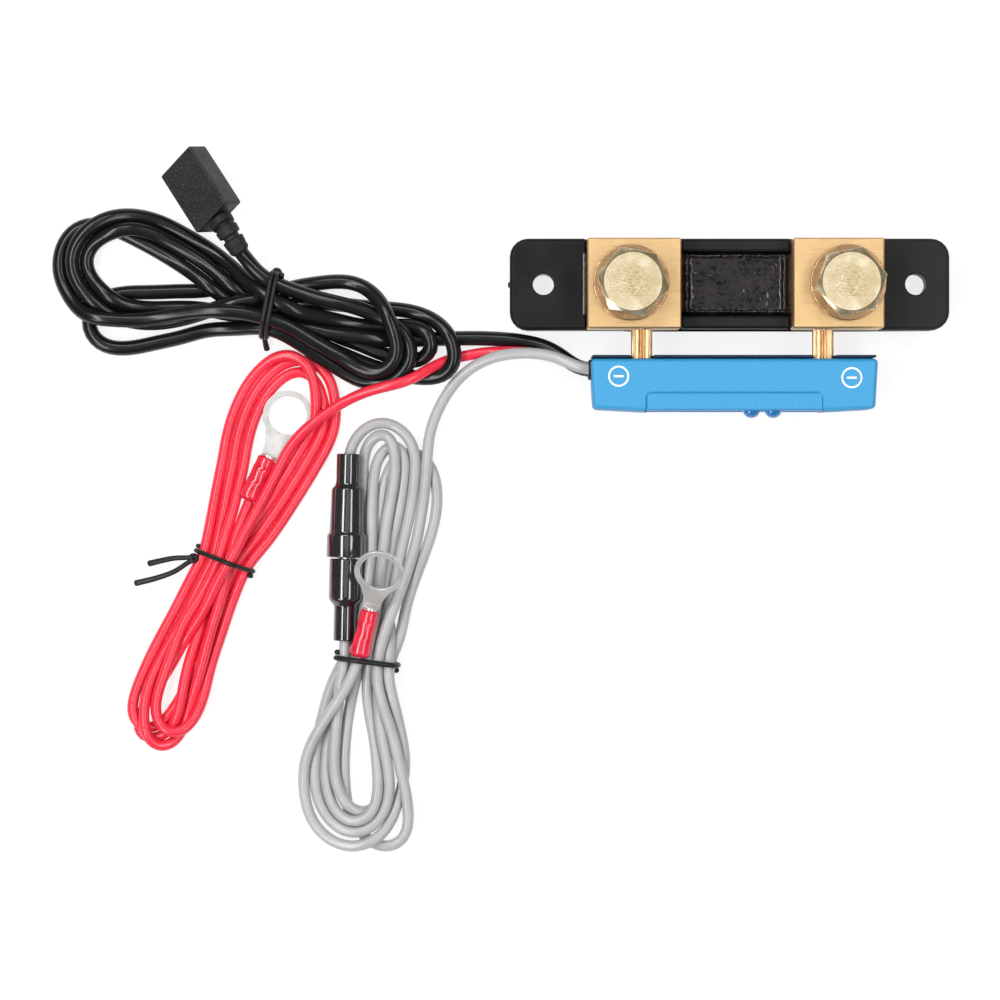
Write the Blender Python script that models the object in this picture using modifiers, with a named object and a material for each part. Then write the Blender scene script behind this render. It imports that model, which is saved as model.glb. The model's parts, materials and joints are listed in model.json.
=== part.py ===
"""Battery monitor shunt: a bar shunt on a moulded base, with an electronics housing and three cords.

Metres, +Z up. The origin is the centre of the base's underside, +X runs along the shunt towards the
battery terminal and +Y away from the electronics housing.
"""

import math

import bmesh
import bpy
from mathutils import Matrix, Vector

MM = 0.001
GAP = 0.3 * MM

# Moulded base
BASE_LENGTH = 120.0 * MM
BASE_DEPTH = 25.0 * MM
BASE_EAR_HEIGHT = 9.0 * MM
BASE_SEAT_HEIGHT = 5.0 * MM
BASE_CORNER_RADIUS = 5.0 * MM
BASE_EDGE_RADIUS = 1.0 * MM
BASE_WALL_HEIGHT = 13.0 * MM
BASE_WALL_THICKNESS = 3.8 * MM
MOUNT_HOLE_SPACING = 101.6 * MM
MOUNT_HOLE_DIAMETER = 5.8 * MM
BLOCK_SCREW_DIAMETER = 4.0 * MM
BLOCK_SCREW_HEAD_DIAMETER = 7.6 * MM
BLOCK_SCREW_OFFSET_Y = 8.6 * MM
BLOCK_SCREW_TIP = 10.5 * MM

# Brass terminal blocks: (centre in X, length in X)
BLOCKS = {"load": (-26.35 * MM, 25.3 * MM), "battery": (28.85 * MM, 24.5 * MM)}
BLOCK_DEPTH = 24.4 * MM
BLOCK_CENTRE_Y = -0.2 * MM
BLOCK_TOP = 22.0 * MM

# M10 hexagon bolts and their washers: bolt axis in X, washer centre in X, turn of the hexagon
BOLTS = {"load": (-27.0 * MM, -27.3 * MM, -10.4), "battery": (31.6 * MM, 31.3 * MM, 11.2)}
BOLT_Y = -0.2 * MM
BOLT_DIAMETER = 10.0 * MM
BOLT_ACROSS_FLATS = 17.0 * MM
BOLT_HEAD_HEIGHT = 6.4 * MM
BOLT_CROWN_DIAMETER = 15.6 * MM
BOLT_SHANK_LENGTH = 16.0 * MM
WASHER_DIAMETER = 20.5 * MM
WASHER_HOLE_DIAMETER = 11.2 * MM
WASHER_THICKNESS = 2.0 * MM

# Resistance strips in their coating
STRIP_POSITIONS_Y = (-5.2 * MM, 0.0, 5.2 * MM)
STRIP_THICKNESS = 1.2 * MM
STRIP_BOTTOM = 5.9 * MM
STRIP_TOP = 11.6 * MM
STRIP_INSERTION = 2.2 * MM
COATING_TOP = 12.4 * MM

# Electronics housing
HOUSING_REAR_Y = -20.6 * MM
HOUSING_FRONT_Y = -34.2 * MM
HOUSING_BOW = 0.7 * MM
HOUSING_CENTRE_X = 0.7 * MM
HOUSING_REAR_HALF_WIDTH = 38.9 * MM
HOUSING_FRONT_HALF_WIDTH = 38.1 * MM
HOUSING_BOTTOM = 1.0 * MM
HOUSING_TOP = 21.0 * MM
HOUSING_WALL = 1.6 * MM
HOUSING_EDGE_RADIUS = 1.2 * MM
HOUSING_CORNER_RADIUS = 1.3 * MM
RECESS_HALF_WIDTH = 23.8 * MM
RECESS_REAR_Y = -29.8 * MM
RECESS_DEPTH = 0.8 * MM
FRONT_STEP = 0.35 * MM
PLATE_REAR_Y = -19.6 * MM
PLATE_THICKNESS = 0.7 * MM
SPACERS_X = {"load": -24.2 * MM, "battery": 25.0 * MM}
SPACER_DIAMETER = 5.8 * MM
SPACER_BORE = 3.6 * MM
SPACER_Z = 14.6 * MM
SPACER_TEETH = 22
SENSE_SCREW_DIAMETER = 3.0 * MM
SENSE_SCREW_TIP_Y = -7.4 * MM
BOARD_REAR_Y = -22.0 * MM
BOARD_THICKNESS = 1.6 * MM
BOARD_LEFT_X = -28.0 * MM
BOARD_RIGHT_X = 35.8 * MM
LED_DIAMETER = 5.0 * MM
LEDS_X = {"left": 5.7 * MM, "right": 11.6 * MM}
LED_Z = 13.0 * MM
LED_TIP_Y = -36.6 * MM

# Cords: outside diameters and where they pass the grommet
DATA_DIAMETER = 4.1 * MM
SUPPLY_DIAMETER = 3.0 * MM
SENSE_DIAMETER = 3.1 * MM
GROMMET_X = HOUSING_CENTRE_X - HOUSING_REAR_HALF_WIDTH
GROMMET_THICKNESS = 2.2 * MM
WIRE_EXITS = {"data": (-23.3, 5.2, DATA_DIAMETER), "supply": (-23.3, 9.7, SUPPLY_DIAMETER),
              "sense": (-23.3, 13.5, SENSE_DIAMETER)}

# Data socket: body size, the middle of its body, and how it lies
SOCKET_WIDTH = 13.4 * MM
SOCKET_THICKNESS = 7.2 * MM
SOCKET_LENGTH = 20.0 * MM
SOCKET_CENTRE = Vector((-144.2, 25.85, 9.7)) * MM
SOCKET_YAW = -57.0
SOCKET_PITCH = 18.0
SOCKET_ROLL = 32.0

# M10 ring terminals
RING_HOLE_DIAMETER = 10.5 * MM
RING_DIAMETER = 13.6 * MM
RING_THICKNESS = 0.9 * MM
RING_NECK_WIDTH = 4.4 * MM
RING_NECK_END = 13.0 * MM
BARREL_DIAMETER = 3.8 * MM
BARREL_LENGTH = 5.0 * MM
SLEEVE_DIAMETER = 4.9 * MM
SLEEVE_LENGTH = 11.4 * MM

# In-line fuse holder, from its upper to its lower end
FUSE_UPPER_END = Vector((-104.1, -46.2, 5.5)) * MM
FUSE_LOWER_END = Vector((-105.2, -97.5, 5.5)) * MM
FUSE_LENGTH = (FUSE_LOWER_END - FUSE_UPPER_END).length

COLOURS = {
    "moulded_black": ((0.018, 0.018, 0.02), 0.45, 0.0),
    "brass": ((0.78, 0.55, 0.27), 0.32, 1.0),
    "bolt_brass": ((0.86, 0.72, 0.42), 0.25, 1.0),
    "manganin": ((0.5, 0.33, 0.24), 0.4, 1.0),
    "coating": ((0.02, 0.02, 0.023), 0.2, 0.0),
    "steel": ((0.55, 0.55, 0.56), 0.3, 1.0),
    "housing_blue": ((0.1, 0.42, 0.78), 0.5, 0.0),
    "plate_navy": ((0.01, 0.05, 0.11), 0.4, 0.0),
    "board_green": ((0.02, 0.16, 0.07), 0.4, 0.0),
    "chip_black": ((0.02, 0.02, 0.02), 0.5, 0.0),
    "led_blue": ((0.02, 0.2, 0.6), 0.1, 0.0),
    "rubber_black": ((0.02, 0.02, 0.02), 0.6, 0.0),
    "cord_black": ((0.02, 0.02, 0.022), 0.35, 0.0),
    "cord_red": ((0.8, 0.03, 0.06), 0.35, 0.0),
    "cord_grey": ((0.5, 0.5, 0.5), 0.4, 0.0),
    "sleeve_red": ((0.75, 0.02, 0.07), 0.25, 0.0),
    "tinned": ((0.8, 0.79, 0.76), 0.3, 1.0),
    "nickel": ((0.7, 0.69, 0.66), 0.25, 1.0),
    "glass": ((0.85, 0.9, 0.9), 0.05, 0.0),
    "gold": ((0.9, 0.7, 0.3), 0.25, 1.0),
}


# ---------------------------------------------------------------- scene and materials


def clear_scene():
    for item in list(bpy.data.objects):
        bpy.data.objects.remove(item, do_unlink=True)


def make_collection(name):
    collection = bpy.data.collections.new(name)
    bpy.context.scene.collection.children.link(collection)
    return collection


def make_material(name):
    colour, roughness, metallic = COLOURS[name]
    material = bpy.data.materials.new(name)
    material.use_nodes = True
    shader = material.node_tree.nodes["Principled BSDF"]
    shader.inputs["Base Color"].default_value = (*colour, 1.0)
    shader.inputs["Roughness"].default_value = roughness
    shader.inputs["Metallic"].default_value = metallic
    return material


def finish(item, name, material, collection):
    """Name an object, give it its own material and move it to its collection."""
    item.name = name
    item.data.name = name
    item.data.materials.clear()
    item.data.materials.append(make_material(material))
    for other in list(item.users_collection):
        other.objects.unlink(item)
    collection.objects.link(item)
    return item


def shade(item):
    item.data.shade_smooth()
    item.data.set_sharp_from_angle(angle=math.radians(35))
    return item


# ---------------------------------------------------------------- shapes


def mesh_object(mesh_maker):
    mesh = bpy.data.meshes.new("shape")
    builder = bmesh.new()
    mesh_maker(builder)
    builder.to_mesh(mesh)
    builder.free()
    item = bpy.data.objects.new("shape", mesh)
    bpy.context.scene.collection.objects.link(item)
    return item


def box(low, high):
    """A box between two corners, with its origin at its centre."""
    low, high = Vector(low), Vector(high)

    def build(builder):
        bmesh.ops.create_cube(builder, size=1.0)
        bmesh.ops.scale(builder, vec=high - low, verts=builder.verts)

    item = mesh_object(build)
    item.location = (low + high) / 2
    return item


def rod(start, end, radius, radius_end=None, segments=32, turn=0.0):
    """A cylinder or cone from start to end."""
    start, end = Vector(start), Vector(end)
    axis = end - start

    def build(builder):
        bmesh.ops.create_cone(
            builder, cap_ends=True, segments=segments, radius1=radius,
            radius2=radius if radius_end is None else radius_end, depth=axis.length)
        bmesh.ops.rotate(builder, matrix=Matrix.Rotation(turn, 3, "Z"), verts=builder.verts)

    item = mesh_object(build)
    item.matrix_world = Matrix.Translation((start + end) / 2) @ axis.to_track_quat("Z",
                                                                                   "Y").to_matrix().to_4x4()
    return item


def turned(profile, steps=32):
    """A solid of revolution about Z, from a profile that runs down its outer side.

    A profile that starts and ends on the axis closes by itself. Any other is closed into a ring.
    """
    mesh = bpy.data.meshes.new("profile")
    points = [(x, 0.0, z) for x, z in profile]
    edges = [(i, i + 1) for i in range(len(points) - 1)]
    if profile[0][0] > 0.0:
        edges.append((len(points) - 1, 0))
    mesh.from_pydata(points, edges, [])
    item = bpy.data.objects.new("turned", mesh)
    bpy.context.scene.collection.objects.link(item)
    screw = item.modifiers.new("turn", "SCREW")
    screw.steps = steps
    screw.render_steps = steps
    screw.use_merge_vertices = True
    screw.merge_threshold = 0.000001
    screw.use_normal_calculate = False
    return item


def outline_solid(points, low, high, edge_radius=0.0):
    """A flat outline in XY, extruded from low to high, with rounded edges if asked."""
    curve = bpy.data.curves.new("outline", "CURVE")
    curve.dimensions = "2D"
    curve.fill_mode = "BOTH"
    curve.extrude = (high - low) / 2 - edge_radius
    curve.bevel_depth = edge_radius
    curve.bevel_resolution = 1
    curve.offset = -edge_radius
    spline = curve.splines.new("POLY")
    spline.points.add(len(points) - 1)
    for point, (x, y) in zip(spline.points, points):
        point.co = (x, y, 0.0, 1.0)
    spline.use_cyclic_u = True
    item = bpy.data.objects.new("outline", curve)
    bpy.context.scene.collection.objects.link(item)
    item.location.z = (low + high) / 2
    return to_mesh(item)


def to_mesh(item):
    """The curve object as a welded mesh object in the same place."""
    bpy.context.view_layer.update()
    evaluated = item.evaluated_get(bpy.context.evaluated_depsgraph_get())
    mesh = bpy.data.meshes.new_from_object(evaluated)
    builder = bmesh.new()
    builder.from_mesh(mesh)
    bmesh.ops.remove_doubles(builder, verts=builder.verts, dist=0.000002)
    bmesh.ops.recalc_face_normals(builder, faces=builder.faces)
    builder.to_mesh(mesh)
    builder.free()
    result = bpy.data.objects.new("mesh", mesh)
    result.matrix_world = item.matrix_world.copy()
    bpy.context.scene.collection.objects.link(result)
    bpy.data.objects.remove(item, do_unlink=True)
    return result


def rounded_polygon(corners, radius, steps=5):
    """The corners of a convex polygon, counter-clockwise, each turned into an arc."""
    points = []
    count = len(corners)
    for i in range(count):
        corner = Vector(corners[i])
        before = (Vector(corners[i - 1]) - corner).normalized()
        after = (Vector(corners[(i + 1) % count]) - corner).normalized()
        half = before.angle(after) / 2
        centre = corner + (before + after).normalized() * radius / math.sin(half)
        first = corner + before * radius / math.tan(half) - centre
        last = corner + after * radius / math.tan(half) - centre
        sweep = first.angle_signed(last)
        for step in range(steps + 1):
            turn = Matrix.Rotation(-sweep * step / steps, 2)
            points.append(tuple(centre + turn @ first))
    return points


def smooth_route(points, spacing, closed=False):
    """Points read at even spacing from the smooth curve through hand-placed points."""
    route = [Vector(p) for p in points]
    count = len(route)
    fine = []
    for i in range(count if closed else count - 1):
        if closed:
            a, b, c, d = (route[(i + k - 1) % count] for k in range(4))
        else:
            b, c = route[i], route[i + 1]
            a = route[i - 1] if i else b * 2 - c
            d = route[i + 2] if i + 2 < count else c * 2 - b
        for step in range(12):
            t = step / 12
            fine.append(0.5 * (2 * b + (c - a) * t + (2 * a - 5 * b + 4 * c - d) * t * t
                               + (3 * b - a - 3 * c + d) * t ** 3))
    fine.append(route[0].copy() if closed else route[-1].copy())
    lengths = [0.0]
    for first, second in zip(fine, fine[1:]):
        lengths.append(lengths[-1] + (second - first).length)
    steps = max(2, round(lengths[-1] / spacing))
    even = []
    j = 0
    for i in range(steps + (0 if closed else 1)):
        target = lengths[-1] * i / steps
        while j < len(fine) - 2 and lengths[j + 1] < target:
            j += 1
        span = lengths[j + 1] - lengths[j]
        even.append(fine[j].lerp(fine[j + 1], (target - lengths[j]) / span))
    return even


def tube(points, radius, closed=False, resolution=2, radii=None):
    """A tube along the points, with flat ends unless it is closed."""
    curve = bpy.data.curves.new("tube", "CURVE")
    curve.dimensions = "3D"
    curve.bevel_depth = radius
    curve.bevel_resolution = resolution
    curve.use_fill_caps = not closed
    spline = curve.splines.new("POLY")
    spline.points.add(len(points) - 1)
    for i, (point, place) in enumerate(zip(spline.points, points)):
        point.co = (*place, 1.0)
        point.radius = radii[i] if radii else 1.0
    spline.use_cyclic_u = closed
    item = bpy.data.objects.new("tube", curve)
    bpy.context.scene.collection.objects.link(item)
    return item


def edge_bevel(item, width, segments=2):
    bevel = item.modifiers.new("edges", "BEVEL")
    bevel.width = width
    bevel.segments = segments
    bevel.limit_method = "ANGLE"
    bevel.angle_limit = math.radians(50)
    return item


def combine(item, other, operation, cutters):
    """Add a Boolean with another object, which becomes a hidden cutter."""
    step = item.modifiers.new(operation.lower(), "BOOLEAN")
    step.operation = operation
    step.solver = "EXACT"
    step.object = other
    other.hide_render = True
    other.display_type = "WIRE"
    for old in list(other.users_collection):
        old.objects.unlink(other)
    cutters.objects.link(other)
    return item


def cut(item, cutters, *others):
    for other in others:
        combine(item, other, "DIFFERENCE", cutters)
    return item


def join(item, cutters, *others):
    for other in others:
        combine(item, other, "UNION", cutters)
    return item


# ---------------------------------------------------------------- shunt


def block_span(side):
    centre, length = BLOCKS[side]
    return centre - length / 2, centre + length / 2


def block_screw_places():
    for side, (bolt_x, _, _) in BOLTS.items():
        for end, sign in (("rear", 1), ("front", -1)):
            yield side, end, bolt_x, BOLT_Y + sign * BLOCK_SCREW_OFFSET_Y


def make_base(parts, cutters):
    half_x, half_y = BASE_LENGTH / 2, BASE_DEPTH / 2
    corners = [(-half_x, -half_y), (half_x, -half_y), (half_x, half_y), (-half_x, half_y)]
    base = outline_solid(rounded_polygon(corners, BASE_CORNER_RADIUS), 0.0, BASE_EAR_HEIGHT,
                         BASE_EDGE_RADIUS)
    seat = box((block_span("load")[0] - GAP, -BASE_DEPTH, BASE_SEAT_HEIGHT),
               (block_span("battery")[1] + GAP, BASE_DEPTH, 2 * BASE_EAR_HEIGHT))
    cut(base, cutters, seat)
    for sign in (-1, 1):
        inner = sign * (half_y - BASE_WALL_THICKNESS)
        outer = sign * (half_y - GAP)
        wall = box((block_span("load")[1] + GAP, min(inner, outer), BASE_SEAT_HEIGHT - 2 * MM),
                   (block_span("battery")[0] - GAP, max(inner, outer), BASE_WALL_HEIGHT))
        join(base, cutters, edge_bevel(wall, 0.5 * MM))
    nub = box((-half_x - 0.5 * MM, -0.6 * MM, 3.4 * MM), (-half_x + 1.0 * MM, 0.6 * MM, 5.6 * MM))
    join(base, cutters, nub)
    for sign in (-1, 1):
        x = sign * MOUNT_HOLE_SPACING / 2
        cut(base, cutters, rod((x, 0, -2 * MM), (x, 0, 12 * MM), MOUNT_HOLE_DIAMETER / 2))
    for _, _, x, y in block_screw_places():
        radius = BLOCK_SCREW_DIAMETER / 2 + GAP
        head = BLOCK_SCREW_HEAD_DIAMETER / 2 + GAP
        hole = turned([(0.0, 8 * MM), (radius, 8 * MM), (radius, 2.6 * MM), (head, 0.5 * MM), (head, -MM),
                       (0.0, -MM)],
                      steps=20)
        hole.location = (x, y, 0.0)
        cut(base, cutters, hole)
    shade(finish(base, "base", "moulded_black", parts))


def make_block(side, parts, cutters):
    low_x, high_x = block_span(side)
    bolt_x = BOLTS[side][0]
    half = BLOCK_DEPTH / 2
    block = box((low_x, BLOCK_CENTRE_Y - half, BASE_SEAT_HEIGHT + GAP),
                (high_x, BLOCK_CENTRE_Y + half, BLOCK_TOP))
    edge_bevel(block, 0.4 * MM)
    shank_tip = BLOCK_TOP + 2 * GAP + WASHER_THICKNESS - BOLT_SHANK_LENGTH
    cut(block, cutters, rod((bolt_x, BOLT_Y, shank_tip - 1.2 * MM), (bolt_x, BOLT_Y, BLOCK_TOP + MM),
                            BOLT_DIAMETER / 2 + GAP))
    cut(block, cutters, rod((SPACERS_X[side], -20 * MM, SPACER_Z), (SPACERS_X[side],
                                                                    SENSE_SCREW_TIP_Y + GAP, SPACER_Z),
                            SENSE_SCREW_DIAMETER / 2 + GAP, segments=20))
    for place_side, _, x, y in block_screw_places():
        if place_side == side:
            cut(block, cutters, rod((x, y, 2 * MM), (x, y, BLOCK_SCREW_TIP + GAP),
                                    BLOCK_SCREW_DIAMETER / 2 + GAP, segments=20))
    inner = high_x if side == "load" else low_x
    for y in STRIP_POSITIONS_Y:
        reach = STRIP_INSERTION + GAP
        width = STRIP_THICKNESS / 2 + GAP
        cut(block, cutters, box((inner - reach, y - width, STRIP_BOTTOM - GAP), (inner + reach, y + width,
                                                                                 STRIP_TOP + GAP)))
    shade(finish(block, side + "_block", "brass", parts))


def make_element(parts, cutters):
    left, right = block_span("load")[1], block_span("battery")[0]
    for i, y in enumerate(STRIP_POSITIONS_Y):
        strip = box((left - STRIP_INSERTION, y - STRIP_THICKNESS / 2, STRIP_BOTTOM),
                    (right + STRIP_INSERTION, y + STRIP_THICKNESS / 2, STRIP_TOP))
        finish(strip, "resistance_strip_%d" % (i + 1), "manganin", parts)
    half = BASE_DEPTH / 2 - BASE_WALL_THICKNESS - GAP
    coating = box((left + GAP, -half, BASE_SEAT_HEIGHT + GAP), (right - GAP, half, COATING_TOP))
    for y in STRIP_POSITIONS_Y:
        width = STRIP_THICKNESS / 2 + GAP
        cut(coating, cutters, box((left - MM, y - width, 0.0), (right + MM, y + width, STRIP_TOP + GAP)))
    finish(coating, "element_coating", "coating", parts)


def make_block_screws(parts, cutters):
    head = BLOCK_SCREW_HEAD_DIAMETER / 2
    radius = BLOCK_SCREW_DIAMETER / 2
    for side, end, x, y in block_screw_places():
        screw = turned([(0.0, BLOCK_SCREW_TIP), (radius - 0.4 * MM, BLOCK_SCREW_TIP),
                        (radius, BLOCK_SCREW_TIP - 0.5 * MM), (radius, 2.3 * MM), (head, 0.4 * MM),
                        (head, 0.2 * MM), (0.0, 0.2 * MM)], steps=20)
        screw.location = (x, y, 0.0)
        for turn in (0.0, math.pi / 2):
            slot = box((-2.0 * MM, -0.4 * MM, -MM), (2.0 * MM, 0.4 * MM, 1.4 * MM))
            slot.matrix_world = Matrix.Translation((x, y, 0.2 * MM)) @ Matrix.Rotation(turn, 4, "Z")
            cut(screw, cutters, slot)
        shade(finish(screw, "%s_block_screw_%s" % (side, end), "steel", parts))


def make_washer(side, parts):
    outer, inner, height = WASHER_DIAMETER / 2, WASHER_HOLE_DIAMETER / 2, WASHER_THICKNESS
    soft = 0.25 * MM
    washer = turned([(outer - soft, height), (outer, height - soft), (outer, soft), (outer - soft, 0.0),
                     (inner, 0.0), (inner, height)], steps=48)
    washer.location = (BOLTS[side][1], BOLT_Y, BLOCK_TOP + GAP)
    shade(finish(washer, side + "_washer", "bolt_brass", parts))


def make_bolt(side, parts, cutters):
    bolt_x, _, turn = BOLTS[side]
    seat = BLOCK_TOP + GAP + WASHER_THICKNESS + GAP
    corner = BOLT_ACROSS_FLATS / math.sqrt(3)
    bolt = rod((0, 0, 0), (0, 0, BOLT_HEAD_HEIGHT), corner, segments=6, turn=math.radians(turn - 90))
    crown = BOLT_CROWN_DIAMETER / 2
    slope = 0.58
    drop = (corner + MM - crown) * slope
    chamfer = turned([(0.0, BOLT_HEAD_HEIGHT), (crown, BOLT_HEAD_HEIGHT),
                      (corner + MM, BOLT_HEAD_HEIGHT - drop),
                      (corner + MM, -MM), (0.0, -MM)], steps=36)
    combine(bolt, chamfer, "INTERSECT", cutters)
    shank = rod((0, 0, -BOLT_SHANK_LENGTH), (0, 0, 0.5 * MM), BOLT_DIAMETER / 2)
    join(bolt, cutters, shank)
    shift = Matrix.Translation((bolt_x, BOLT_Y, seat))
    for item in (bolt, chamfer, shank):
        item.matrix_world = shift @ item.matrix_basis
    shade(finish(bolt, side + "_bolt", "bolt_brass", parts))


# ---------------------------------------------------------------- electronics housing


def make_spacer(side, parts, cutters):
    """A straight-knurled brass spacer along Y, with toothed edges at both ends."""
    start = BLOCK_CENTRE_Y - BLOCK_DEPTH / 2 - GAP
    end = BOARD_REAR_Y + GAP
    outer = SPACER_DIAMETER / 2
    points = []
    for i in range(SPACER_TEETH * 2):
        angle = math.pi * i / SPACER_TEETH
        radius = outer if i % 2 else outer - 0.32 * MM
        points.append((radius * math.cos(angle), radius * math.sin(angle)))
    spacer = outline_solid(points, 0.0, start - end)
    bore = rod((0, 0, -MM), (0, 0, start - end + MM), SPACER_BORE / 2, segments=20)
    cut(spacer, cutters, bore)
    place = Matrix.Translation((SPACERS_X[side], end, SPACER_Z)) @ Matrix.Rotation(-math.pi / 2, 4, "X")
    for item in (spacer, bore):
        item.matrix_world = place @ item.matrix_basis
    finish(spacer, side + "_spacer", "brass", parts)


def make_sense_screw(side, parts, cutters):
    head_rear = BOARD_REAR_Y - BOARD_THICKNESS - GAP
    radius = SENSE_SCREW_DIAMETER / 2
    screw = turned([(0.0, SENSE_SCREW_TIP_Y - head_rear), (radius, SENSE_SCREW_TIP_Y - head_rear),
                    (radius, 0.0),
                    (2.75 * MM, 0.0), (2.75 * MM, -1.4 * MM), (2.0 * MM, -2.2 * MM), (0.0, -2.2 * MM)],
                   steps=20)
    drive = rod((0, 0, -3 * MM), (0, 0, -1.2 * MM), 1.3 * MM, segments=6)
    cut(screw, cutters, drive)
    place = Matrix.Translation((SPACERS_X[side], head_rear, SPACER_Z)) @ Matrix.Rotation(-math.pi / 2, 4,
                                                                                         "X")
    for item in (screw, drive):
        item.matrix_world = place @ item.matrix_basis
    shade(finish(screw, side + "_sense_screw", "steel", parts))


def make_housing_cover(parts, cutters):
    middle, rear, front = HOUSING_CENTRE_X, HOUSING_REAR_HALF_WIDTH, HOUSING_FRONT_HALF_WIDTH
    bow = HOUSING_FRONT_Y - HOUSING_BOW
    corners = [(middle - front, HOUSING_FRONT_Y), (middle - 0.65 * front, bow),
               (middle + 0.65 * front, bow),
               (middle + front, HOUSING_FRONT_Y), (middle + rear, HOUSING_REAR_Y),
               (middle - rear, HOUSING_REAR_Y)]
    cover = outline_solid(rounded_polygon(corners, HOUSING_CORNER_RADIUS, steps=4), HOUSING_BOTTOM,
                          HOUSING_TOP,
                          HOUSING_EDGE_RADIUS)
    inner = front - HOUSING_WALL
    cavity = box((middle - inner, HOUSING_FRONT_Y + HOUSING_WALL - 0.2 * MM, HOUSING_BOTTOM + HOUSING_WALL),
                 (middle + inner, HOUSING_REAR_Y + 3 * MM, HOUSING_TOP - HOUSING_WALL - RECESS_DEPTH))
    cut(cover, cutters, cavity)
    recess = outline_solid(
        rounded_polygon([(middle - RECESS_HALF_WIDTH, -40 * MM), (middle + RECESS_HALF_WIDTH, -40 * MM),
                         (middle + RECESS_HALF_WIDTH, RECESS_REAR_Y),
                         (middle - RECESS_HALF_WIDTH, RECESS_REAR_Y)],
                        1.4 * MM),
        HOUSING_TOP - RECESS_DEPTH, HOUSING_TOP + MM)
    cut(cover, cutters, recess)
    cut(cover, cutters, box((middle - RECESS_HALF_WIDTH, -40 * MM, 0.0),
                            (middle + RECESS_HALF_WIDTH, bow + FRONT_STEP, HOUSING_TOP + MM)))
    for x in LEDS_X.values():
        cut(cover, cutters, rod((x, -40 * MM, LED_Z), (x, -30 * MM, LED_Z), LED_DIAMETER / 2 + GAP))
    low, high = grommet_window(GAP)
    cut(cover, cutters, box((middle - rear - MM, low[0], low[1]), (middle - inner + MM, HOUSING_REAR_Y + MM,
                                                                   high[1])))
    shade(finish(cover, "housing_cover", "housing_blue", parts))


def grommet_window(margin):
    """The grommet's corners in Y and Z, grown by a margin."""
    return ((-26.0 * MM - margin, 2.2 * MM - margin), (-20.7 * MM + margin, 15.8 * MM + margin))


def make_grommet(parts, cutters):
    low, high = grommet_window(0.0)
    grommet = box((GROMMET_X - 0.4 * MM, low[0], low[1]), (GROMMET_X + GROMMET_THICKNESS, high[0], high[1]))
    edge_bevel(grommet, 0.3 * MM, segments=1)
    for y, z, diameter in WIRE_EXITS.values():
        hole = rod((GROMMET_X - 3 * MM, y * MM, z * MM), (GROMMET_X + 5 * MM, y * MM, z * MM),
                   diameter / 2 + GAP,
                   segments=24)
        cut(grommet, cutters, hole)
    shade(finish(grommet, "cable_grommet", "rubber_black", parts))


def make_back_plate(parts, cutters):
    half = HOUSING_REAR_HALF_WIDTH - 0.4 * MM
    low, high = HOUSING_BOTTOM + 0.4 * MM, HOUSING_TOP - 0.6 * MM
    middle = HOUSING_CENTRE_X
    plate = box((middle - half, PLATE_REAR_Y - PLATE_THICKNESS, low), (middle + half, PLATE_REAR_Y, high))
    edge_bevel(plate, 0.3 * MM, segments=1)
    rim = HOUSING_FRONT_HALF_WIDTH - HOUSING_WALL - GAP
    tongue = box((middle - rim, PLATE_REAR_Y - PLATE_THICKNESS - 1.0 * MM,
                  HOUSING_BOTTOM + HOUSING_WALL + GAP),
                 (middle + rim, PLATE_REAR_Y - 0.3 * MM, HOUSING_TOP - HOUSING_WALL - RECESS_DEPTH - GAP))
    join(plate, cutters, tongue)
    for x in SPACERS_X.values():
        radius = SPACER_DIAMETER / 2 + GAP
        cut(plate, cutters, rod((x, PLATE_REAR_Y - 5 * MM, SPACER_Z), (x, PLATE_REAR_Y + 2 * MM, SPACER_Z),
                                radius))
        cut(plate, cutters, box((x - radius, PLATE_REAR_Y - 5 * MM, SPACER_Z),
                                (x + radius, PLATE_REAR_Y + 2 * MM, HOUSING_TOP + MM)))
    shade(finish(plate, "housing_back_plate", "plate_navy", parts))


def make_board(parts, cutters):
    front = BOARD_REAR_Y - BOARD_THICKNESS
    board = box((BOARD_LEFT_X, front, 3.2 * MM), (BOARD_RIGHT_X, BOARD_REAR_Y, 18.0 * MM))
    for x in SPACERS_X.values():
        cut(board, cutters, rod((x, front - MM, SPACER_Z), (x, BOARD_REAR_Y + MM, SPACER_Z),
                                SENSE_SCREW_DIAMETER / 2 + GAP, segments=20))
    finish(board, "circuit_board", "board_green", parts)
    face = front - GAP
    pieces = {
        "microcontroller": ((-8.0, 5.5), (2.0, 15.5), 1.2, "chip_black"),
        "current_amplifier": ((-18.5, 6.0), (-13.5, 10.0), 1.4, "chip_black"),
        "voltage_regulator": ((14.5, 4.5), (20.0, 10.0), 2.2, "chip_black"),
    }
    for name, (low, high, height, material) in pieces.items():
        chip = box((low[0] * MM, face - height * MM, low[1] * MM), (high[0] * MM, face, high[1] * MM))
        finish(edge_bevel(chip, 0.15 * MM, segments=1), name, material, parts)


def make_wire_connector(parts):
    """The block at the board's left edge that the three cords plug into."""
    connector = box((-33.0 * MM, -26.2 * MM, 3.2 * MM), (BOARD_LEFT_X - GAP, -21.6 * MM, 16.0 * MM))
    finish(edge_bevel(connector, 0.3 * MM, segments=1), "wire_connector", "chip_black", parts)


def make_led(side, parts):
    radius = LED_DIAMETER / 2
    length = 7.4 * MM
    dome = [(radius * math.sin(a), length - radius + radius * math.cos(a))
            for a in (math.radians(15 * k) for k in range(7))]
    led = turned(dome + [(radius, 1.0 * MM), (2.9 * MM, 1.0 * MM), (2.9 * MM, 0.0), (0.0, 0.0)], steps=28)
    led.matrix_world = Matrix.Translation((LEDS_X[side], LED_TIP_Y + length, LED_Z)) @ Matrix.Rotation(
        math.pi / 2, 4, "X")
    shade(finish(led, "status_led_" + side, "led_blue", parts))


# ---------------------------------------------------------------- cords


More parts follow.
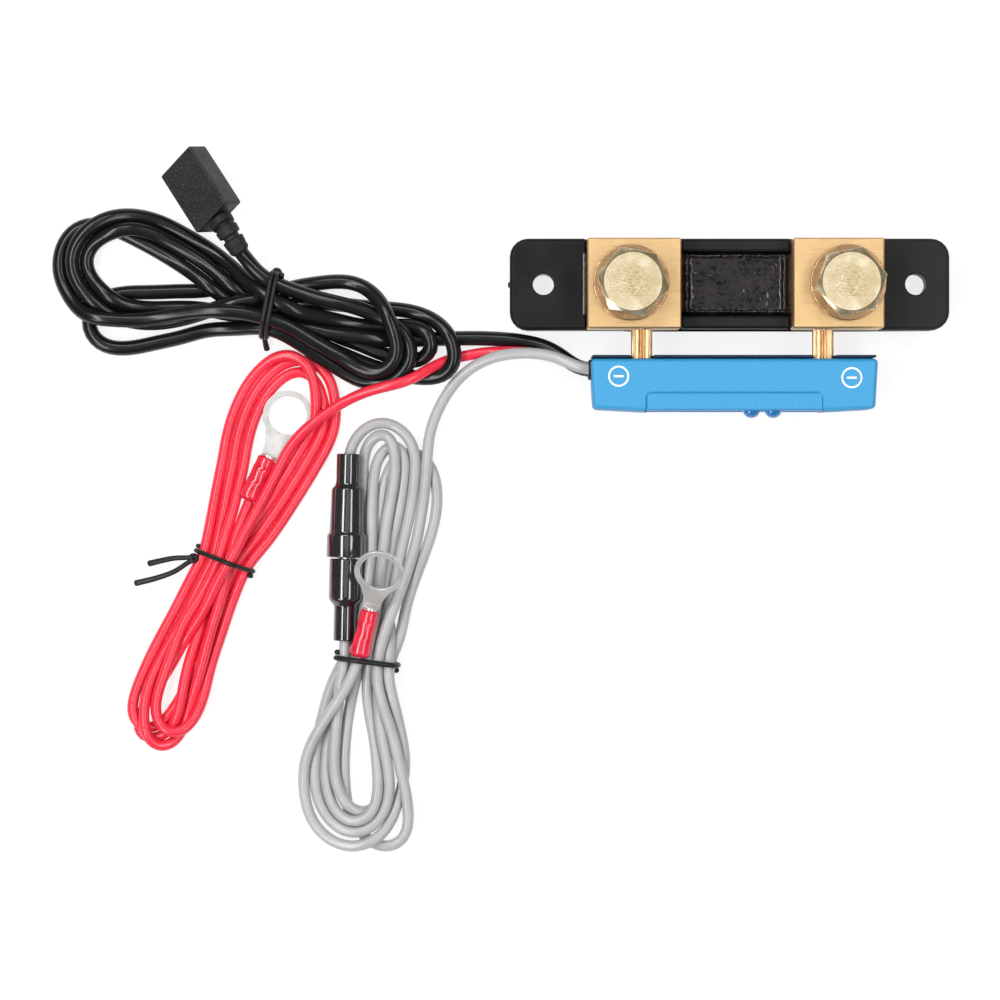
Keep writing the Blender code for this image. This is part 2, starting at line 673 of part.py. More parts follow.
def cord_tube(name, points, diameter, material, parts):
    """A cord's tube: straight to its second point, where it leaves a hole, then along a smooth curve."""
    start, *rest = [Vector(p) * MM for p in points]
    finish(tube([start] + smooth_route(rest, 2 * diameter), diameter / 2), name, material, parts)


DATA_LEAD = [(-33.4, -23.3, 5.2), (-39.9, -23.3, 5.2), (-42.6, -22.0, 5.0), (-46.0, -19.2, 4.3),
             (-50.0, -16.9, 3.3),
             (-55.0, -15.6, 2.5), (-60.0, -14.9, 2.2), (-65.0, -14.5, 2.15), (-70.0, -14.25, 2.15),
             (-74.4, -14.1, 2.15)]
SUPPLY_LEAD = [(-33.4, -23.3, 9.7), (-39.9, -23.3, 9.7), (-42.8, -22.1, 9.4), (-46.2, -20.1, 8.4),
               (-50.0, -19.1, 7.2),
               (-55.0, -18.6, 5.6), (-60.0, -18.9, 3.6), (-65.0, -19.4, 2.0), (-70.0, -20.2, 1.9),
               (-75.0, -21.1, 3.2), (-80.0, -22.3, 4.8), (-86.0, -24.2, 5.8), (-92.0, -26.4, 5.8),
               (-98.0, -28.9, 5.4), (-103.0, -31.2, 5.0), (-107.0, -33.4, 4.6)]
SENSE_LEAD = [(-33.4, -23.3, 13.5), (-39.9, -23.3, 13.5), (-42.8, -22.2, 13.1), (-46.4, -20.4, 12.0),
              (-50.0, -19.4, 10.6), (-55.0, -18.8, 8.9), (-60.0, -18.9, 6.9), (-65.0, -20.0, 5.3),
              (-70.0, -22.2, 4.8), (-75.0, -26.2, 3.2), (-78.6, -31.0, 2.0), (-80.8, -36.0, 1.7),
              (-82.1, -41.0, 1.7), (-82.4, -43.6, 1.7)]
SENSE_ARCH = [(-104.2, -50.2, 5.5), (-104.05, -45.6, 5.5), (-103.0, -42.6, 5.4), (-100.8, -40.2, 5.2),
              (-97.8, -38.6, 5.0), (-94.5, -38.0, 4.8), (-91.6, -38.7, 4.6), (-89.3, -40.6, 4.4),
              (-88.4, -42.2, 4.2)]
SENSE_TAIL = [(-105.1, -93.2, 5.5), (-105.2, -97.8, 5.4), (-105.2, -99.4, 5.2)]
SENSE_RING_TAIL = [(-99.9, -95.3, 9.25), (-101.0, -101.0, 9.4), (-101.9, -103.6, 10.2),
                   (-103.4, -107.2, 9.3),
                   (-104.6, -110.0, 7.95)]
SUPPLY_TAIL = [(-128.65, -52.8, 2.7), (-131.2, -58.5, 2.7), (-132.2, -60.6, 2.7), (-132.9, -62.3, 2.7)]
DATA_TAIL = [(-133.1, 8.6, 13.6), (-131.6, 6.6, 13.0), (-130.2, 4.9, 12.2), (-129.2, 3.8, 11.3)]

DATA_HANK = [(-184.4, 7.5), (-181.0, 14.5), (-174.0, 18.6), (-164.0, 20.0), (-154.0, 17.6), (-145.5, 12.4),
             (-137.0, 5.6), (-129.5, 1.4), (-121.0, 0.6), (-108.0, 2.2), (-100.0, 0.6), (-94.5, -4.4),
             (-86.0, -8.0), (-78.5, -11.6), (-75.0, -14.8), (-75.2, -18.0), (-82.0, -20.4), (-92.0, -23.6),
             (-101.0, -27.0), (-109.5, -23.2), (-118.0, -17.4), (-126.5, -14.0), (-137.0, -13.0),
             (-148.0, -15.0),
             (-160.0, -16.9), (-169.0, -15.4), (-175.0, -9.0), (-181.5, -2.0)]
DATA_HANK_TOP = 11.4 * MM
SUPPLY_HANK = [(-121.0, -18.9), (-115.4, -21.9), (-110.4, -26.8), (-108.8, -34.0), (-110.0, -43.0),
               (-114.4, -53.0),
               (-122.0, -64.0), (-130.0, -75.6), (-134.5, -88.0), (-139.4, -101.0), (-143.6, -113.5),
               (-150.0, -123.0), (-157.0, -126.0), (-162.6, -121.4), (-164.2, -113.5), (-160.0, -102.0),
               (-151.8, -86.0), (-145.4, -73.0), (-141.6, -60.0), (-139.4, -46.0), (-136.0, -35.0),
               (-130.0, -24.6)]
SUPPLY_HANK_WINDOW = [(-120.4, -25.6), (-114.9, -28.6), (-112.9, -35.6), (-115.0, -42.5), (-119.0, -49.5),
                      (-124.6, -58.2), (-129.2, -64.0), (-133.6, -65.4), (-134.2, -58.0), (-131.2, -47.5),
                      (-129.4, -40.0), (-128.5, -33.6), (-125.2, -27.8)]
SUPPLY_HANK_TOP = 6.6 * MM
SENSE_HANK = [(-98.9, -56.0), (-97.5, -50.0), (-93.0, -45.0), (-87.0, -43.6), (-82.0, -46.0),
              (-79.2, -54.0),
              (-79.4, -62.0), (-82.4, -73.0), (-87.4, -88.0), (-90.8, -103.0), (-91.0, -112.0),
              (-88.4, -124.0),
              (-87.2, -136.0), (-86.4, -147.0), (-89.6, -154.6), (-97.0, -155.2), (-107.0, -154.2),
              (-114.0, -147.0),
              (-117.2, -137.0), (-114.6, -126.0), (-109.6, -114.0), (-107.4, -104.0), (-105.4, -99.9),
              (-101.4, -98.2), (-98.9, -90.0), (-98.7, -72.0)]
SENSE_HANK_TOP = 6.1 * MM


def make_hank(name, outline, top, material, parts, cutters, waist, window=None):
    """A hank's outer shape, grooved underneath where its tie passes."""
    points = [tuple(p) for p in (v.xy for v in smooth_route([Vector((*p, 0.0)) * MM for p in outline],
                                                            4.5 * MM, True))]
    hank = outline_solid(points, GAP, top, 1.2 * MM)
    middle, direction = waist
    groove = box((-20 * MM, -1.4 * MM, -2 * MM), (20 * MM, 1.4 * MM, 2.1 * MM))
    groove.matrix_world = Matrix.Translation((middle[0] * MM, middle[1] * MM, 0.0)) @ Matrix.Rotation(
        math.radians(direction), 4, "Z") @ groove.matrix_basis
    cut(hank, cutters, groove)
    if window:
        ring = [tuple(v.xy) for v in smooth_route([Vector((*p, 0.0)) * MM for p in window], 4.5 * MM, True)]
        cut(hank, cutters, outline_solid(ring, -2 * MM, top + 2 * MM))
    shade(finish(hank, name, material, parts))


def make_tie(name, waist, half_width, top, wire, material, parts, tails=()):
    """A wire tie: once around the hank's waist, ending in two tails at one side."""
    middle, direction = waist
    side = wire / 2 + GAP + 0.25 * MM
    low, high = side - GAP + 0.1 * MM, top + side
    half = half_width + side
    corner = 1.6 * MM
    loop = [(half, 0.5 * (low + high)), (half, low + corner), (half - corner, low), (0.0, low),
            (corner - half, low),
            (-half, low + corner), (-half, 0.5 * (low + high)), (-half, high - corner),
            (corner - half, high),
            (0.0, high), (half - corner, high), (half, high - corner)]
    place = Matrix.Translation((middle[0] * MM, middle[1] * MM,
                                0.0)) @ Matrix.Rotation(math.radians(direction), 4, "Z")
    if not tails:
        route = smooth_route([place @ Vector((u, 0.0, z)) for u, z in loop], 2.2 * MM, True)
        finish(tube(route, wire / 2, closed=True), name, material, parts)
        return
    start, end = tails
    order = loop[6:] + loop[:6]
    wound = [place @ Vector((u, (0.9 - 1.8 * i / (len(order) - 1)) * MM, z)) for i,
             (u, z) in enumerate(order[1:], 1)]
    route = [Vector(p) * MM for p in start] + wound + [Vector(p) * MM for p in end]
    finish(tube(smooth_route(route, 2.2 * MM), wire / 2), name, material, parts)


def socket_axes():
    """The socket's own axes as a rotation: X across its width, Y towards its cord, Z out of its top."""
    yaw, pitch, roll = (math.radians(a) for a in (SOCKET_YAW, SOCKET_PITCH, SOCKET_ROLL))
    along = Vector((math.cos(yaw) * math.cos(pitch), math.sin(yaw) * math.cos(pitch), math.sin(pitch)))
    level = Vector((-math.sin(yaw), math.cos(yaw), 0.0))
    upright = level.cross(along) * -1
    across = level * math.cos(roll) + upright * math.sin(roll)
    top = across.cross(along)
    return Matrix((across, along, top)).transposed(), along


def make_socket(parts, cutters):
    rotation, along = socket_axes()
    place = Matrix.Translation(SOCKET_CENTRE) @ rotation.to_4x4()
    half = Vector((SOCKET_WIDTH, SOCKET_LENGTH, SOCKET_THICKNESS)) / 2

    def put(item):
        item.matrix_world = place @ item.matrix_basis
        return item

    body = edge_bevel(put(box(-half, half)), 0.6 * MM)
    cavity = put(box((-5.4 * MM, -half.y - MM, -2.5 * MM), (5.4 * MM, -half.y + 9.0 * MM, 2.5 * MM)))
    cut(body, cutters, cavity)
    pockets = [-3.81 * MM + 2.54 * MM * k for k in range(4)]
    for x in pockets:
        hole = put(box((x - 0.65 * MM, -half.y + 8.0 * MM, -0.65 * MM),
                       (x + 0.65 * MM, -half.y + 13.0 * MM, 0.65 * MM)))
        cut(body, cutters, hole)
    shade(finish(body, "data_socket_body", "moulded_black", parts))
    carrier = put(box((-4.9 * MM, -half.y + 1.2 * MM, -0.9 * MM), (4.9 * MM, -half.y + 8.7 * MM, 0.9 * MM)))
    for x in pockets:
        slot = put(box((x - 0.65 * MM, -half.y, -0.65 * MM),
                       (x + 0.65 * MM, -half.y + 10.0 * MM, 0.65 * MM)))
        cut(carrier, cutters, slot)
    finish(carrier, "data_socket_carrier", "chip_black", parts)
    for i, x in enumerate(pockets):
        contact = put(box((x - 0.32 * MM, -half.y + 1.6 * MM, -0.32 * MM),
                          (x + 0.32 * MM, -half.y + 12.6 * MM, 0.32 * MM)))
        finish(contact, "data_contact_%d" % (i + 1), "gold", parts)
    start = SOCKET_CENTRE + along * (half.y + GAP)
    end = Vector(DATA_TAIL[0]) * MM
    bend = start + along * 5.0 * MM
    finish_direction = (Vector(DATA_TAIL[1]) * MM - end).normalized()
    points = [start, start + along * 2.0 * MM, bend, end - finish_direction * 2.4 * MM,
              end - finish_direction * GAP]
    route = smooth_route(points, 1.2 * MM)
    radii = [1.0 - 0.22 * i / (len(route) - 1) for i in range(len(route))]
    finish(tube(route, 3.2 * MM, resolution=3, radii=radii), "data_strain_relief", "rubber_black", parts)


def make_ring_terminal(name, place, bend, parts, cutters):
    """A ring terminal: eye at the origin, neck towards -Y, barrel beyond; the eye is tilted up by bend."""
    outer = RING_DIAMETER / 2
    neck = RING_NECK_WIDTH / 2
    start = math.radians(-90 + 38)
    sweep = math.radians(360 - 2 * 38)
    arc = [(outer * math.cos(start + sweep * k / 30),
            outer * math.sin(start + sweep * k / 30)) for k in range(31)]
    outline = arc + [(-neck - 0.5 * MM, -outer - 2.0 * MM), (-neck, -RING_NECK_END), (neck, -RING_NECK_END),
                     (neck + 0.5 * MM, -outer - 2.0 * MM)]
    eye = outline_solid(outline, -RING_THICKNESS / 2, RING_THICKNESS / 2)
    hole = rod((0, 0, -3 * MM), (0, 0, 3 * MM), RING_HOLE_DIAMETER / 2, segments=36)
    cut(eye, cutters, hole)
    hinge = Vector((0.0, -RING_NECK_END + 1.0 * MM, 0.0))
    tilt = Matrix.Translation(hinge) @ Matrix.Rotation(math.radians(bend), 4,
                                                       "X") @ Matrix.Translation(-hinge)
    barrel = rod((0, -RING_NECK_END + 0.9 * MM, 0.5 * MM), (0, -RING_NECK_END - BARREL_LENGTH, 0.5 * MM),
                 BARREL_DIAMETER / 2, segments=24)
    join(eye, cutters, barrel)
    for item in (eye, hole):
        item.matrix_world = place @ tilt @ item.matrix_basis
    barrel.matrix_world = place @ barrel.matrix_basis
    shade(finish(eye, name, "tinned", parts))


def make_sleeve(name, place, parts):
    """The crimped sleeve over a ring terminal's barrel and the end of its wire."""
    outer, inner = SLEEVE_DIAMETER / 2, BARREL_DIAMETER / 2 + GAP / 2
    sleeve = turned([(outer - 0.2 * MM, SLEEVE_LENGTH), (outer, SLEEVE_LENGTH - 0.3 * MM),
                     (outer, 0.3 * MM),
                     (outer - 0.2 * MM, 0.0), (inner, 0.0), (inner, SLEEVE_LENGTH)], steps=24)
    lift = Matrix.Translation((0.0, -RING_NECK_END - 0.4 * MM - SLEEVE_LENGTH, 0.5 * MM))
    sleeve.matrix_world = place @ lift @ Matrix.Rotation(-math.pi / 2, 4, "X")
    shade(finish(sleeve, name, "sleeve_red", parts))


def terminal_place(eye, towards, tilt=0.0):
    """A placement with its origin at the eye and -Y pointing level at the other point, in millimetres."""
    eye, towards = Vector(eye) * MM, Vector(towards) * MM
    flat = towards - eye
    turn = math.atan2(flat.y, flat.x) + math.pi / 2
    return Matrix.Translation(eye) @ Matrix.Rotation(turn, 4, "Z") @ Matrix.Rotation(tilt, 4, "X")


# ---------------------------------------------------------------- fuse holder


def fuse_place():
    axis = (FUSE_UPPER_END - FUSE_LOWER_END).normalized()
    return Matrix.Translation(FUSE_LOWER_END) @ axis.to_track_quat("Z", "Y").to_matrix().to_4x4()


def make_fuse_holder(parts):
    """Body above, cap below, on one axis; heights are measured from the lower end."""
    total = FUSE_LENGTH
    wire = SENSE_DIAMETER / 2 + GAP
    place = fuse_place()

    def put(item, name, material):
        item.matrix_world = place
        return shade(finish(item, name, material, parts))

    seam = 23.0 * MM
    body = [(2.9, total / MM), (2.9, total / MM - 8.4), (4.05, total / MM - 10.6), (4.05, 31.6),
            (5.15, 28.2),
            (5.15, 23.6), (4.95, 23.2), (4.05, 23.2), (4.05, 27.6), (3.1, 27.6), (3.1, total / MM - 10.8),
            (wire / MM, total / MM - 9.4), (wire / MM, total / MM)]
    put(turned([(x * MM, z * MM) for x, z in body]), "fuse_body", "moulded_black")
    cap = [(3.72, 27.2), (3.72, 23.0), (4.35, 22.8), (4.35, 11.6), (2.85, 9.2), (2.85, 0.0),
           (wire / MM, 0.0),
           (wire / MM, 11.4), (3.1, 12.6), (3.1, 27.2)]
    put(turned([(x * MM, z * MM) for x, z in cap]), "fuse_cap", "moulded_black")
    low = seam - 2.4 * MM
    for name, start in (("fuse_end_cap_lower", low), ("fuse_end_cap_upper", low + 14.6 * MM)):
        item = turned([(0.0, start + 5.4 * MM), (2.6 * MM, start + 5.4 * MM), (2.6 * MM, start),
                       (0.0, start)], steps=24)
        put(item, name, "nickel")
    tube_low = low + 5.4 * MM + GAP
    tube_high = low + 14.6 * MM - GAP
    glass = turned([(2.4 * MM, tube_high), (2.4 * MM, tube_low), (1.9 * MM, tube_low),
                    (1.9 * MM, tube_high)], steps=24)
    put(glass, "fuse_tube", "glass")
    turns = 5
    coil = [Vector((1.9 * MM * math.cos(a), 1.9 * MM * math.sin(a),
                    13.6 * MM + 6.2 * MM * a / (2 * math.pi * turns)))
            for a in (2 * math.pi * k / 10 for k in range(10 * turns + 1))]
    spring = tube(coil, 0.3 * MM, resolution=1)
    spring.matrix_world = place
    finish(spring, "fuse_spring", "steel", parts)


def main():
    clear_scene()
    parts = make_collection("battery_monitor_shunt")
    cutters = make_collection("cutters")
    make_base(parts, cutters)
    make_element(parts, cutters)
    make_block_screws(parts, cutters)
    for side in ("load", "battery"):
        make_block(side, parts, cutters)
        make_washer(side, parts)
        make_bolt(side, parts, cutters)
        make_spacer(side, parts, cutters)
        make_sense_screw(side, parts, cutters)
    make_housing_cover(parts, cutters)
    make_back_plate(parts, cutters)
    make_grommet(parts, cutters)
    make_board(parts, cutters)
    make_wire_connector(parts)
    for side in ("left", "right"):
        make_led(side, parts)

    data_waist = ((-126.2, -6.5), -97.0)
    supply_waist = ((-137.8, -74.6), -18.0)
    sense_waist = ((-98.9, -102.9), -8.0)
    cord_tube("data_lead", DATA_LEAD, DATA_DIAMETER, "cord_black", parts)
    cord_tube("data_tail", DATA_TAIL, DATA_DIAMETER, "cord_black", parts)
    make_hank("data_hank", DATA_HANK, DATA_HANK_TOP, "cord_black", parts, cutters, data_waist)
    make_tie("data_tie", data_waist, 7.9 * MM, DATA_HANK_TOP, 1.4 * MM, "rubber_black", parts,
             tails=([(-125.6, 6.0, 8.4), (-125.6, 3.6, 8.9)], [(-124.6, 3.9, 5.2), (-124.2, 6.3, 4.8)]))
    make_socket(parts, cutters)

    cord_tube("supply_lead", SUPPLY_LEAD, SUPPLY_DIAMETER, "cord_red", parts)
    cord_tube("supply_tail", SUPPLY_TAIL, SUPPLY_DIAMETER, "cord_red", parts)
    make_hank("supply_hank", SUPPLY_HANK, SUPPLY_HANK_TOP, "cord_red", parts, cutters, supply_waist,
              SUPPLY_HANK_WINDOW)
    make_tie("supply_tie", supply_waist, 7.8 * MM, SUPPLY_HANK_TOP, 1.4 * MM, "rubber_black", parts,
             tails=([(-158.6, -76.2, 1.2), (-153.0, -74.8, 1.6), (-149.0, -74.4, 3.0)],
                    [(-149.4, -76.6, 1.4), (-154.0, -79.4, 1.0), (-162.6, -81.6, 1.0)]))
    supply_place = terminal_place((-120.9, -35.6, 2.2), (-126.3, -47.6, 2.2))
    make_ring_terminal("supply_ring_terminal", supply_place, 0.0, parts, cutters)
    make_sleeve("supply_terminal_sleeve", supply_place, parts)

    cord_tube("sense_lead", SENSE_LEAD, SENSE_DIAMETER, "cord_grey", parts)
    cord_tube("sense_arch", SENSE_ARCH, SENSE_DIAMETER, "cord_grey", parts)
    cord_tube("sense_tail", SENSE_TAIL, SENSE_DIAMETER, "cord_grey", parts)
    cord_tube("sense_ring_tail", SENSE_RING_TAIL, SENSE_DIAMETER, "cord_grey", parts)
    make_hank("sense_hank", SENSE_HANK, SENSE_HANK_TOP, "cord_grey", parts, cutters, sense_waist)
    make_tie("sense_tie", sense_waist, 8.9 * MM, SENSE_HANK_TOP, 1.3 * MM, "rubber_black", parts)
    make_fuse_holder(parts)
    sense_place = terminal_place((-95.0, -76.6, 8.75), (-98.3, -90.0, 8.75))
    make_ring_terminal("sense_ring_terminal", sense_place, 33.0, parts, cutters)
    make_sleeve("sense_terminal_sleeve", sense_place, parts)


main()
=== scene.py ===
"""Looks of the battery monitor shunt: materials, cords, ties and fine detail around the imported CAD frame."""

import json
import math

import bmesh
import bpy
import numpy as np
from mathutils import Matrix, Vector, noise


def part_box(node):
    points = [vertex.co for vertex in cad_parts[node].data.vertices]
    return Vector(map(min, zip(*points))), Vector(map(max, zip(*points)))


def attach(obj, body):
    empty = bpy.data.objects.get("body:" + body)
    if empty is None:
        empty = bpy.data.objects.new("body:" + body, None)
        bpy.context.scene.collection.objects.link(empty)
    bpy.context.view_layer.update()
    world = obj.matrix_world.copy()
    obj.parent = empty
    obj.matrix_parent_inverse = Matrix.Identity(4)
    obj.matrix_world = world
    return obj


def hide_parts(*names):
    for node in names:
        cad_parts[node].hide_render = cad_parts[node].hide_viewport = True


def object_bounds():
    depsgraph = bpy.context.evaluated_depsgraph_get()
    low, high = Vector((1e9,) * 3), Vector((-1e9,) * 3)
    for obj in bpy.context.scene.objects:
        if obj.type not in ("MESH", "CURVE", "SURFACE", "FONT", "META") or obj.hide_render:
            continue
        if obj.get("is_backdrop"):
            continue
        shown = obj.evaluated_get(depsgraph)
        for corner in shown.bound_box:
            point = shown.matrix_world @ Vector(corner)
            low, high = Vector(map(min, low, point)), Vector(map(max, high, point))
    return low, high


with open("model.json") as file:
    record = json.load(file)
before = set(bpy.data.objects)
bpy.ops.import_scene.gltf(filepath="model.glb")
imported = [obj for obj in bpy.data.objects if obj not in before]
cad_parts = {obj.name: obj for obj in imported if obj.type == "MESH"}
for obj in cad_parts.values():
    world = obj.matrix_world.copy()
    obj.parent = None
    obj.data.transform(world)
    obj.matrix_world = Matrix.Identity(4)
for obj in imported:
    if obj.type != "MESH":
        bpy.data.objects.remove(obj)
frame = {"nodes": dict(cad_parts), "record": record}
CAD_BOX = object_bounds()

MM = 0.001
ROOT = "shunt"
UP = np.array([0.0, 0.0, 1.0])

# ---------------------------------------------------------------- camera and light

CAMERA_PLACE = Vector((-62.65, -58.85, 1250.0)) * MM
HALF_VIEW = 137.36 * MM
LIT_POINT = Vector((-0.06, -0.05, 0.0))
LIGHTS = (  # name, place and size in metres, watts
    ("key", (-0.20, 0.75, 1.05), (0.50, 0.40), 3.0),
    ("top", (0.00, 0.05, 1.95), (0.80, 0.80), 1.5),
    ("low", (-0.70, -0.72, 0.72), (0.35, 0.35), 2.0),
    ("left_strip", (-0.60, -0.05, 1.06), (1.6, 0.20), 11.5),
    ("right_strip", (0.52, -0.05, 1.06), (1.6, 0.20), 7.5),
)
SKY_STRENGTH = 0.20
FLOOR_GREY, FLOOR_GLOW = 0.25, 0.80
FLOOR_DEPTH = 0.02 * MM


def link(name, data):
    """A new object in the scene."""
    item = bpy.data.objects.new(name, data)
    bpy.context.scene.collection.objects.link(item)
    return item


def make_camera():
    data = bpy.data.cameras.new("camera")
    data.sensor_width = 36.0
    data.angle = 2 * math.atan(HALF_VIEW / CAMERA_PLACE.z)
    data.clip_start = 0.05
    data.clip_end = 20.0
    camera = link("camera", data)
    camera.location = CAMERA_PLACE
    bpy.context.scene.camera = camera


def make_light(name, place, size, power):
    data = bpy.data.lights.new(name, "AREA")
    data.shape = "RECTANGLE"
    data.size, data.size_y = size
    data.energy = power
    light = link(name, data)
    light.location = place
    light.rotation_euler = (LIT_POINT - Vector(place)).to_track_quat("-Z", "Y").to_euler()


def make_studio():
    bpy.context.scene.view_settings.view_transform = "Standard"
    for row in LIGHTS:
        make_light(*row)
    world = bpy.data.worlds.new("world")
    bpy.context.scene.world = world
    world.use_nodes = True
    background = world.node_tree.nodes["Background"]
    background.inputs["Color"].default_value = (1.0, 1.0, 1.0, 1.0)
    background.inputs["Strength"].default_value = SKY_STRENGTH


def make_floor():
    """A white table that glows a little, so that it stays pale inside holes and between cords."""
    mesh = bpy.data.meshes.new("floor")
    builder = bmesh.new()
    bmesh.ops.create_grid(builder, x_segments=1, y_segments=1, size=2.0)
    builder.to_mesh(mesh)
    builder.free()
    floor = link("floor", mesh)
    floor.location.z = -FLOOR_DEPTH
    paint = bpy.data.materials.new("floor")
    paint.use_nodes = True
    shader = paint.node_tree.nodes["Principled BSDF"]
    shader.inputs["Base Color"].default_value = (FLOOR_GREY, FLOOR_GREY, FLOOR_GREY, 1.0)
    shader.inputs["Roughness"].default_value = 0.9
    shader.inputs["Specular IOR Level"].default_value = 0.1
    shader.inputs["Emission Color"].default_value = (1.0, 1.0, 1.0, 1.0)
    shader.inputs["Emission Strength"].default_value = FLOOR_GLOW
    mesh.materials.append(paint)
    floor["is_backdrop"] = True


# ---------------------------------------------------------------- cord routes, in millimetres

DATA_DIAMETER = 4.1
SUPPLY_DIAMETER = 3.0
SENSE_DIAMETER = 3.1

DATA_ROUTE = [
    # lead, from the wire connector through the grommet and along the floor
    (-33.4, -23.3, 5.2), (-36.6, -23.3, 5.2), (-39.9, -23.3, 5.2), (-42.6, -22, 5), (-46, -19.2, 4.3),
    (-50, -16.9, 3.3), (-55, -15.6, 2.5), (-60, -14.9, 2.2), (-65, -14.5, 2.1), (-70, -14.25, 2.1),
    (-75, -14.1, 2.1), (-80, -14, 2.1), (-86, -14.1, 2.1), (-92, -14.5, 3), (-98, -14.6, 4.6),
    (-105, -13.8, 5.5), (-111, -12.7, 5.5), (-117, -11, 4.5), (-122, -9.2, 3), (-126, -7.2, 2.4),
    # inner left loop
    (-131, -5, 5), (-136, -2, 6.5), (-140, 0.6, 6), (-145, 4.8, 5.8), (-150, 8.5, 5.8), (-156, 12.8, 5.4),
    (-161, 15.2, 4.5), (-166, 15.7, 3), (-171, 14.5, 2.1), (-175, 12, 2.1), (-177.3, 7, 2.1),
    (-176.5, 1, 2.3), (-173, -3.5, 4), (-168, -6.3, 5), (-162, -7.6, 3.5), (-155, -7.8, 2.3),
    (-148, -7.3, 2.3), (-140, -6.4, 2.6), (-133, -6.6, 4.6), (-126, -7.6, 5.9),
    # outer right loop
    (-120, -6.2, 4.2), (-114, -5.2, 2.3), (-107, -5.4, 2.1), (-100, -6.4, 2.1), (-95, -7, 2.2),
    (-91, -7.6, 2.8), (-87, -9, 3.8), (-83, -10.5, 4.9), (-79.4, -12.2, 5.8), (-76.6, -15, 5.9),
    (-75.4, -18.8, 5.2), (-77, -22.4, 3.2), (-81.8, -24.2, 2.1), (-88, -24, 2.1), (-94, -22.4, 2.1),
    (-100, -20.7, 2.1), (-108, -17.4, 2.1), (-115, -14.4, 2.1), (-121, -11.8, 2.2), (-126, -10.2, 2.4),
    # outermost left loop
    (-131, -7.6, 3.6), (-137, -3.6, 3.8), (-141, 0, 2.6), (-145, 3.8, 2.1), (-150, 7, 2.1),
    (-155, 9.5, 2.1), (-160, 11.9, 2.1), (-165, 14.3, 2.1), (-171, 16.6, 2.1), (-176.5, 16.6, 2.1),
    (-181.2, 13.4, 2.1), (-183.2, 8, 2.1), (-182.8, 3, 2.2), (-180, -1.2, 2.8), (-175.3, -5.8, 5),
    (-170, -7.4, 8.6), (-165, -8.8, 8.8), (-160, -9.2, 8.6), (-155, -8.7, 8.6), (-150, -7.9, 8.6),
    (-145, -7.2, 8.8), (-140, -6.8, 9), (-135, -6.9, 9.4), (-130, -7.8, 9.6), (-126, -9, 9.6),
    # front right loop
    (-122, -10.5, 8.8), (-117, -13, 7.6), (-110, -17, 6.4), (-103, -21.6, 6.2), (-99.2, -24, 6.4),
    (-95.4, -24.8, 7), (-92, -23.4, 8), (-90.1, -20, 8.8), (-89.9, -16, 9.3), (-91.4, -12, 9.6),
    (-93.6, -8, 9.2), (-95.5, -4.7, 7.8), (-98, -1.9, 5.6), (-101, 0, 4), (-104.5, 0.9, 2.9),
    (-108.5, 0.9, 2.2), (-113, 0.3, 2.1), (-118, -0.6, 2.3), (-122, -1.9, 3.4), (-126, -3.6, 5.4),
    # middle left loop
    (-130, -4.8, 5.6), (-135, -5.8, 5.4), (-140, -6.6, 4.6), (-145, -7.5, 3.6), (-150, -8.3, 3),
    (-155, -9, 3), (-160, -9.2, 3.2), (-165, -8.6, 4.6), (-170, -6.7, 6), (-174.5, -3.4, 5.8),
    (-177.7, 0.6, 5.2), (-179.4, 5, 5.2), (-178.9, 9.6, 5.4), (-175.6, 14, 5.6), (-170.5, 17.2, 5.4),
    (-165, 18.5, 4.6), (-160, 18.2, 3.6), (-155, 16.8, 2.8), (-150, 14.2, 2.4), (-145, 11.3, 2.4),
    (-140, 7.8, 3.4), (-135, 3.6, 5.6), (-130, -0.7, 8), (-126, -3.9, 9.4),
    # short right loop
    (-122, -6, 8.8), (-117, -8.4, 7.6), (-112, -10, 7), (-107, -10.8, 6.5), (-102, -11.6, 6.2),
    (-97, -11.8, 6), (-92, -11.4, 5.8), (-88, -11, 5.4), (-84.2, -11.8, 4.8), (-81.4, -14.2, 4.2),
    (-80.6, -17.6, 3.6), (-82, -20.8, 3), (-85.6, -22.8, 2.4), (-90, -22.4, 2.1), (-94.6, -20.4, 2.1),
    (-100, -16.6, 2.1), (-106, -15.2, 2.1), (-112, -13.2, 2.1), (-118, -9.8, 2.2), (-122, -6.6, 2.3),
    (-126, -3.8, 2.4),
    # low left loop
    (-130.5, -3.6, 2.3), (-135, -3.6, 2.1), (-140, -2.9, 2.1), (-146, -2.2, 2.1), (-152, -1.9, 2.1),
    (-158, -2.2, 2.1), (-164, -2.4, 2.1), (-169.8, -3.8, 2.1), (-174, -6.8, 2.1), (-175.4, -10.8, 2.1),
    (-174, -14.8, 2.1), (-169.8, -17.2, 2.1), (-163.6, -17.2, 2.1), (-157, -15.7, 2.1), (-150, -14.1, 2.1),
    (-143, -11.7, 2.2), (-136, -10.9, 2.8), (-130, -11.3, 4.2), (-126, -12.6, 5),
    # long right loop
    (-120, -14.8, 4.6), (-115, -17.8, 3.8), (-110, -20.8, 2.9), (-105, -24, 2.3), (-101, -26, 2.1),
    (-97, -26.6, 2.1), (-92, -25.8, 3), (-88.4, -23.5, 4.6), (-86.4, -20.2, 6), (-86.7, -17, 6.6),
    (-88.2, -14, 7), (-90.2, -11.5, 7), (-92.8, -9.6, 6.6), (-96, -8.1, 5.9), (-100, -6.6, 5.8),
    (-105, -5.4, 5.8), (-110, -4.6, 5.6), (-115, -3.5, 5.6), (-120, -2, 6), (-124, -0.6, 6.6),
    # up to the strain relief
    (-126.4, 0.5, 7.2), (-128.6, 2.9, 9), (-130.8, 5.7, 11.4), (-133.1, 8.6, 13.6),
]

